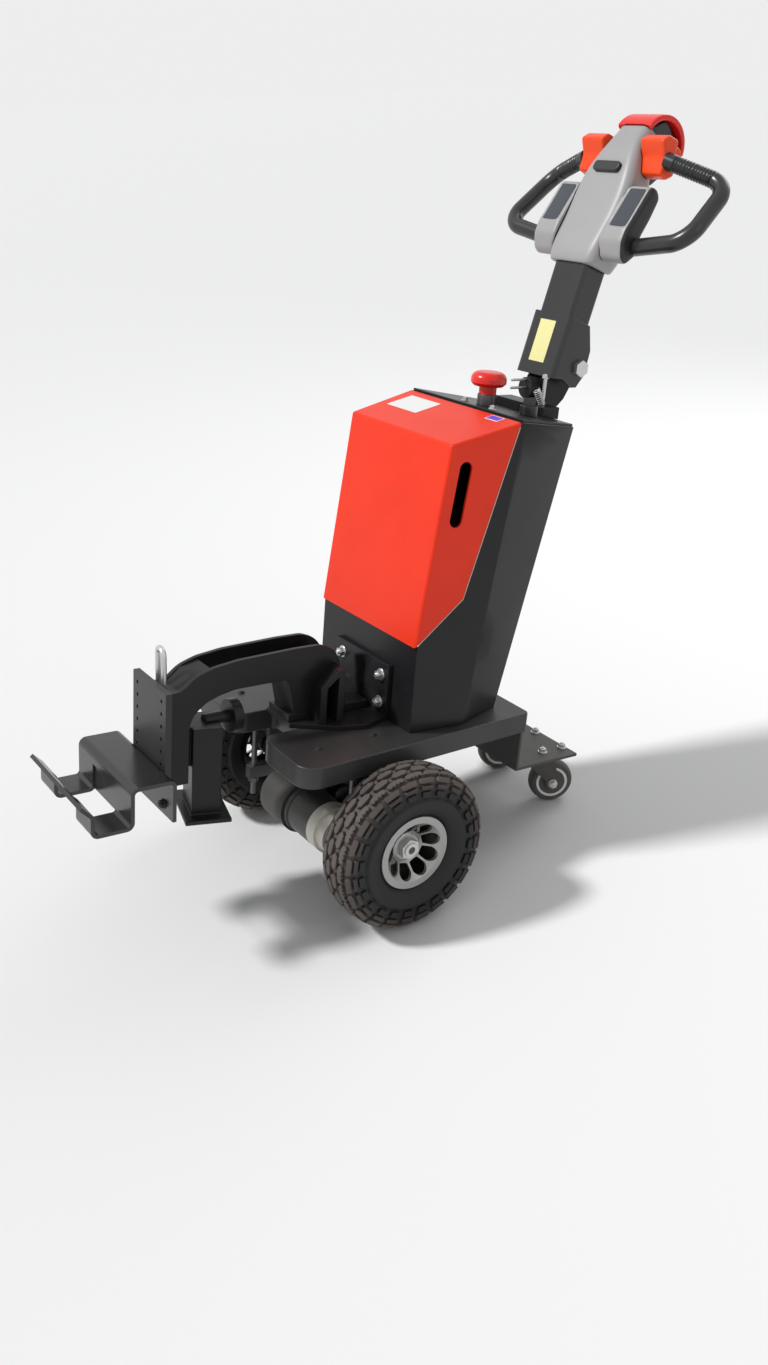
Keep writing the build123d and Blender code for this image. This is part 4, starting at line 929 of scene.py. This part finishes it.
# Finishes of the nodes carried over from the frame
nodeFinish = {
    "blackPowder": ["column_shell", "column_deck", "pivot_block", "arm_sides", "arm_base", "arm_web",
                    "arm_lock", "hitch_bracket", "post", "cross_tube", "axle_tubes"],
    "glossBlack": ["tiller_sleeve", "tiller_tube", "hook_bracket"],
    "blackPlate": ["chassis_plate", "rear_shelf", "hole_plate", "caster_mounts",
                   "caster_fork_left", "caster_fork_right"],
    "coverPaint": ["red_cover"],
    "headShell": ["head_spine"],
    "wingShell": ["head_wings"],
    "redMoulding": ["head_cap", "stop_button"],
    "leverMoulding": ["thumb_levers"],
    "blackMoulding": ["head_core", "rocker_switch", "key_switch"],
    "displayWindow": ["displays"],
    "rimSilverAndPaintedShade": ["rim_left", "rim_right"],
    "zincPlate": ["hub_left", "hub_right", "pivot_bolt", "pull_ring"],
    "darkSteel": ["stop_collar", "axle_clamps"],
    "motorCreamAndPaintedShade": ["drive_motor"],
    "gearcasePaintedShade": ["gearcase"],
    "bufferRubber": ["bumper"],
    "casterPolymer": ["caster_wheel_left", "caster_wheel_right"],
    "batteryCase": ["battery_pack"],
}
replacedNodeFinish = {"treadRubber": ["tyre_left", "tyre_right"],
                      "blackMoulding": ["handle_left", "handle_right"]}
edgeRadius = {"column_shell": 0.0025, "chassis_plate": 0.0025, "rear_shelf": 0.0018,
              "head_wings": 0.0012, "head_spine": 0.0012, "rim_left": 0.0006, "rim_right": 0.0006,
              "post": 0.0018, "battery_pack": 0.003}
# Moulded parts get large soft rounds: voxel size in metres and smoothing passes.
moulded = {"head_spine": (0.0018, 60), "head_wings": (0.0017, 40), "thumb_levers": (0.0012, 30),
           "head_cap": (0.0013, 8), "head_core": (0.0018, 14)}
softening = {"radius": 0.0008, "segments": 2, "bevelFrom": math.radians(28),
             "flatWithin": math.radians(0.6), "weld": 0.00001, "smoothFactor": 0.5, "faceWeight": 100}


def setFinish(node, finish):
    node.data.materials.clear()
    node.data.materials.append(materials[finish])


def roundMoulding(node):
    voxel, passes = moulded[node.name]
    even = node.modifiers.new("evenMesh", "REMESH")
    even.mode = "VOXEL"
    even.voxel_size = voxel
    even.use_smooth_shade = True
    soft = node.modifiers.new("softRounds", "SMOOTH")
    soft.factor = softening["smoothFactor"]
    soft.iterations = passes


def softenEdges(node):
    flat = node.modifiers.new("flatFaces", "DECIMATE")
    flat.decimate_type = "DISSOLVE"
    flat.angle_limit = softening["flatWithin"]
    bevel = node.modifiers.new("softEdges", "BEVEL")
    bevel.width = edgeRadius.get(node.name, softening["radius"])
    bevel.segments = softening["segments"]
    bevel.limit_method = "ANGLE"
    bevel.angle_limit = softening["bevelFrom"]
    shading = node.modifiers.new("evenShading", "WEIGHTED_NORMAL")
    shading.weight = softening["faceWeight"]
    shading.keep_sharp = False


def dressNode(node, finish):
    mesh = node.data
    if "custom_normal" in mesh.attributes:
        mesh.attributes.remove(mesh.attributes["custom_normal"])
    setFinish(node, finish)
    for face in mesh.polygons:
        face.use_smooth = True
        face.material_index = 0
    weld = node.modifiers.new("weld", "WELD")
    weld.merge_threshold = softening["weld"]
    if node.name in moulded:
        roundMoulding(node)
    else:
        softenEdges(node)


for finish, names in nodeFinish.items():
    for name in names:
        dressNode(nodes[name], finish)
for finish, names in replacedNodeFinish.items():
    for name in names:
        setFinish(nodes[name], finish)
print("stage: node finishes")
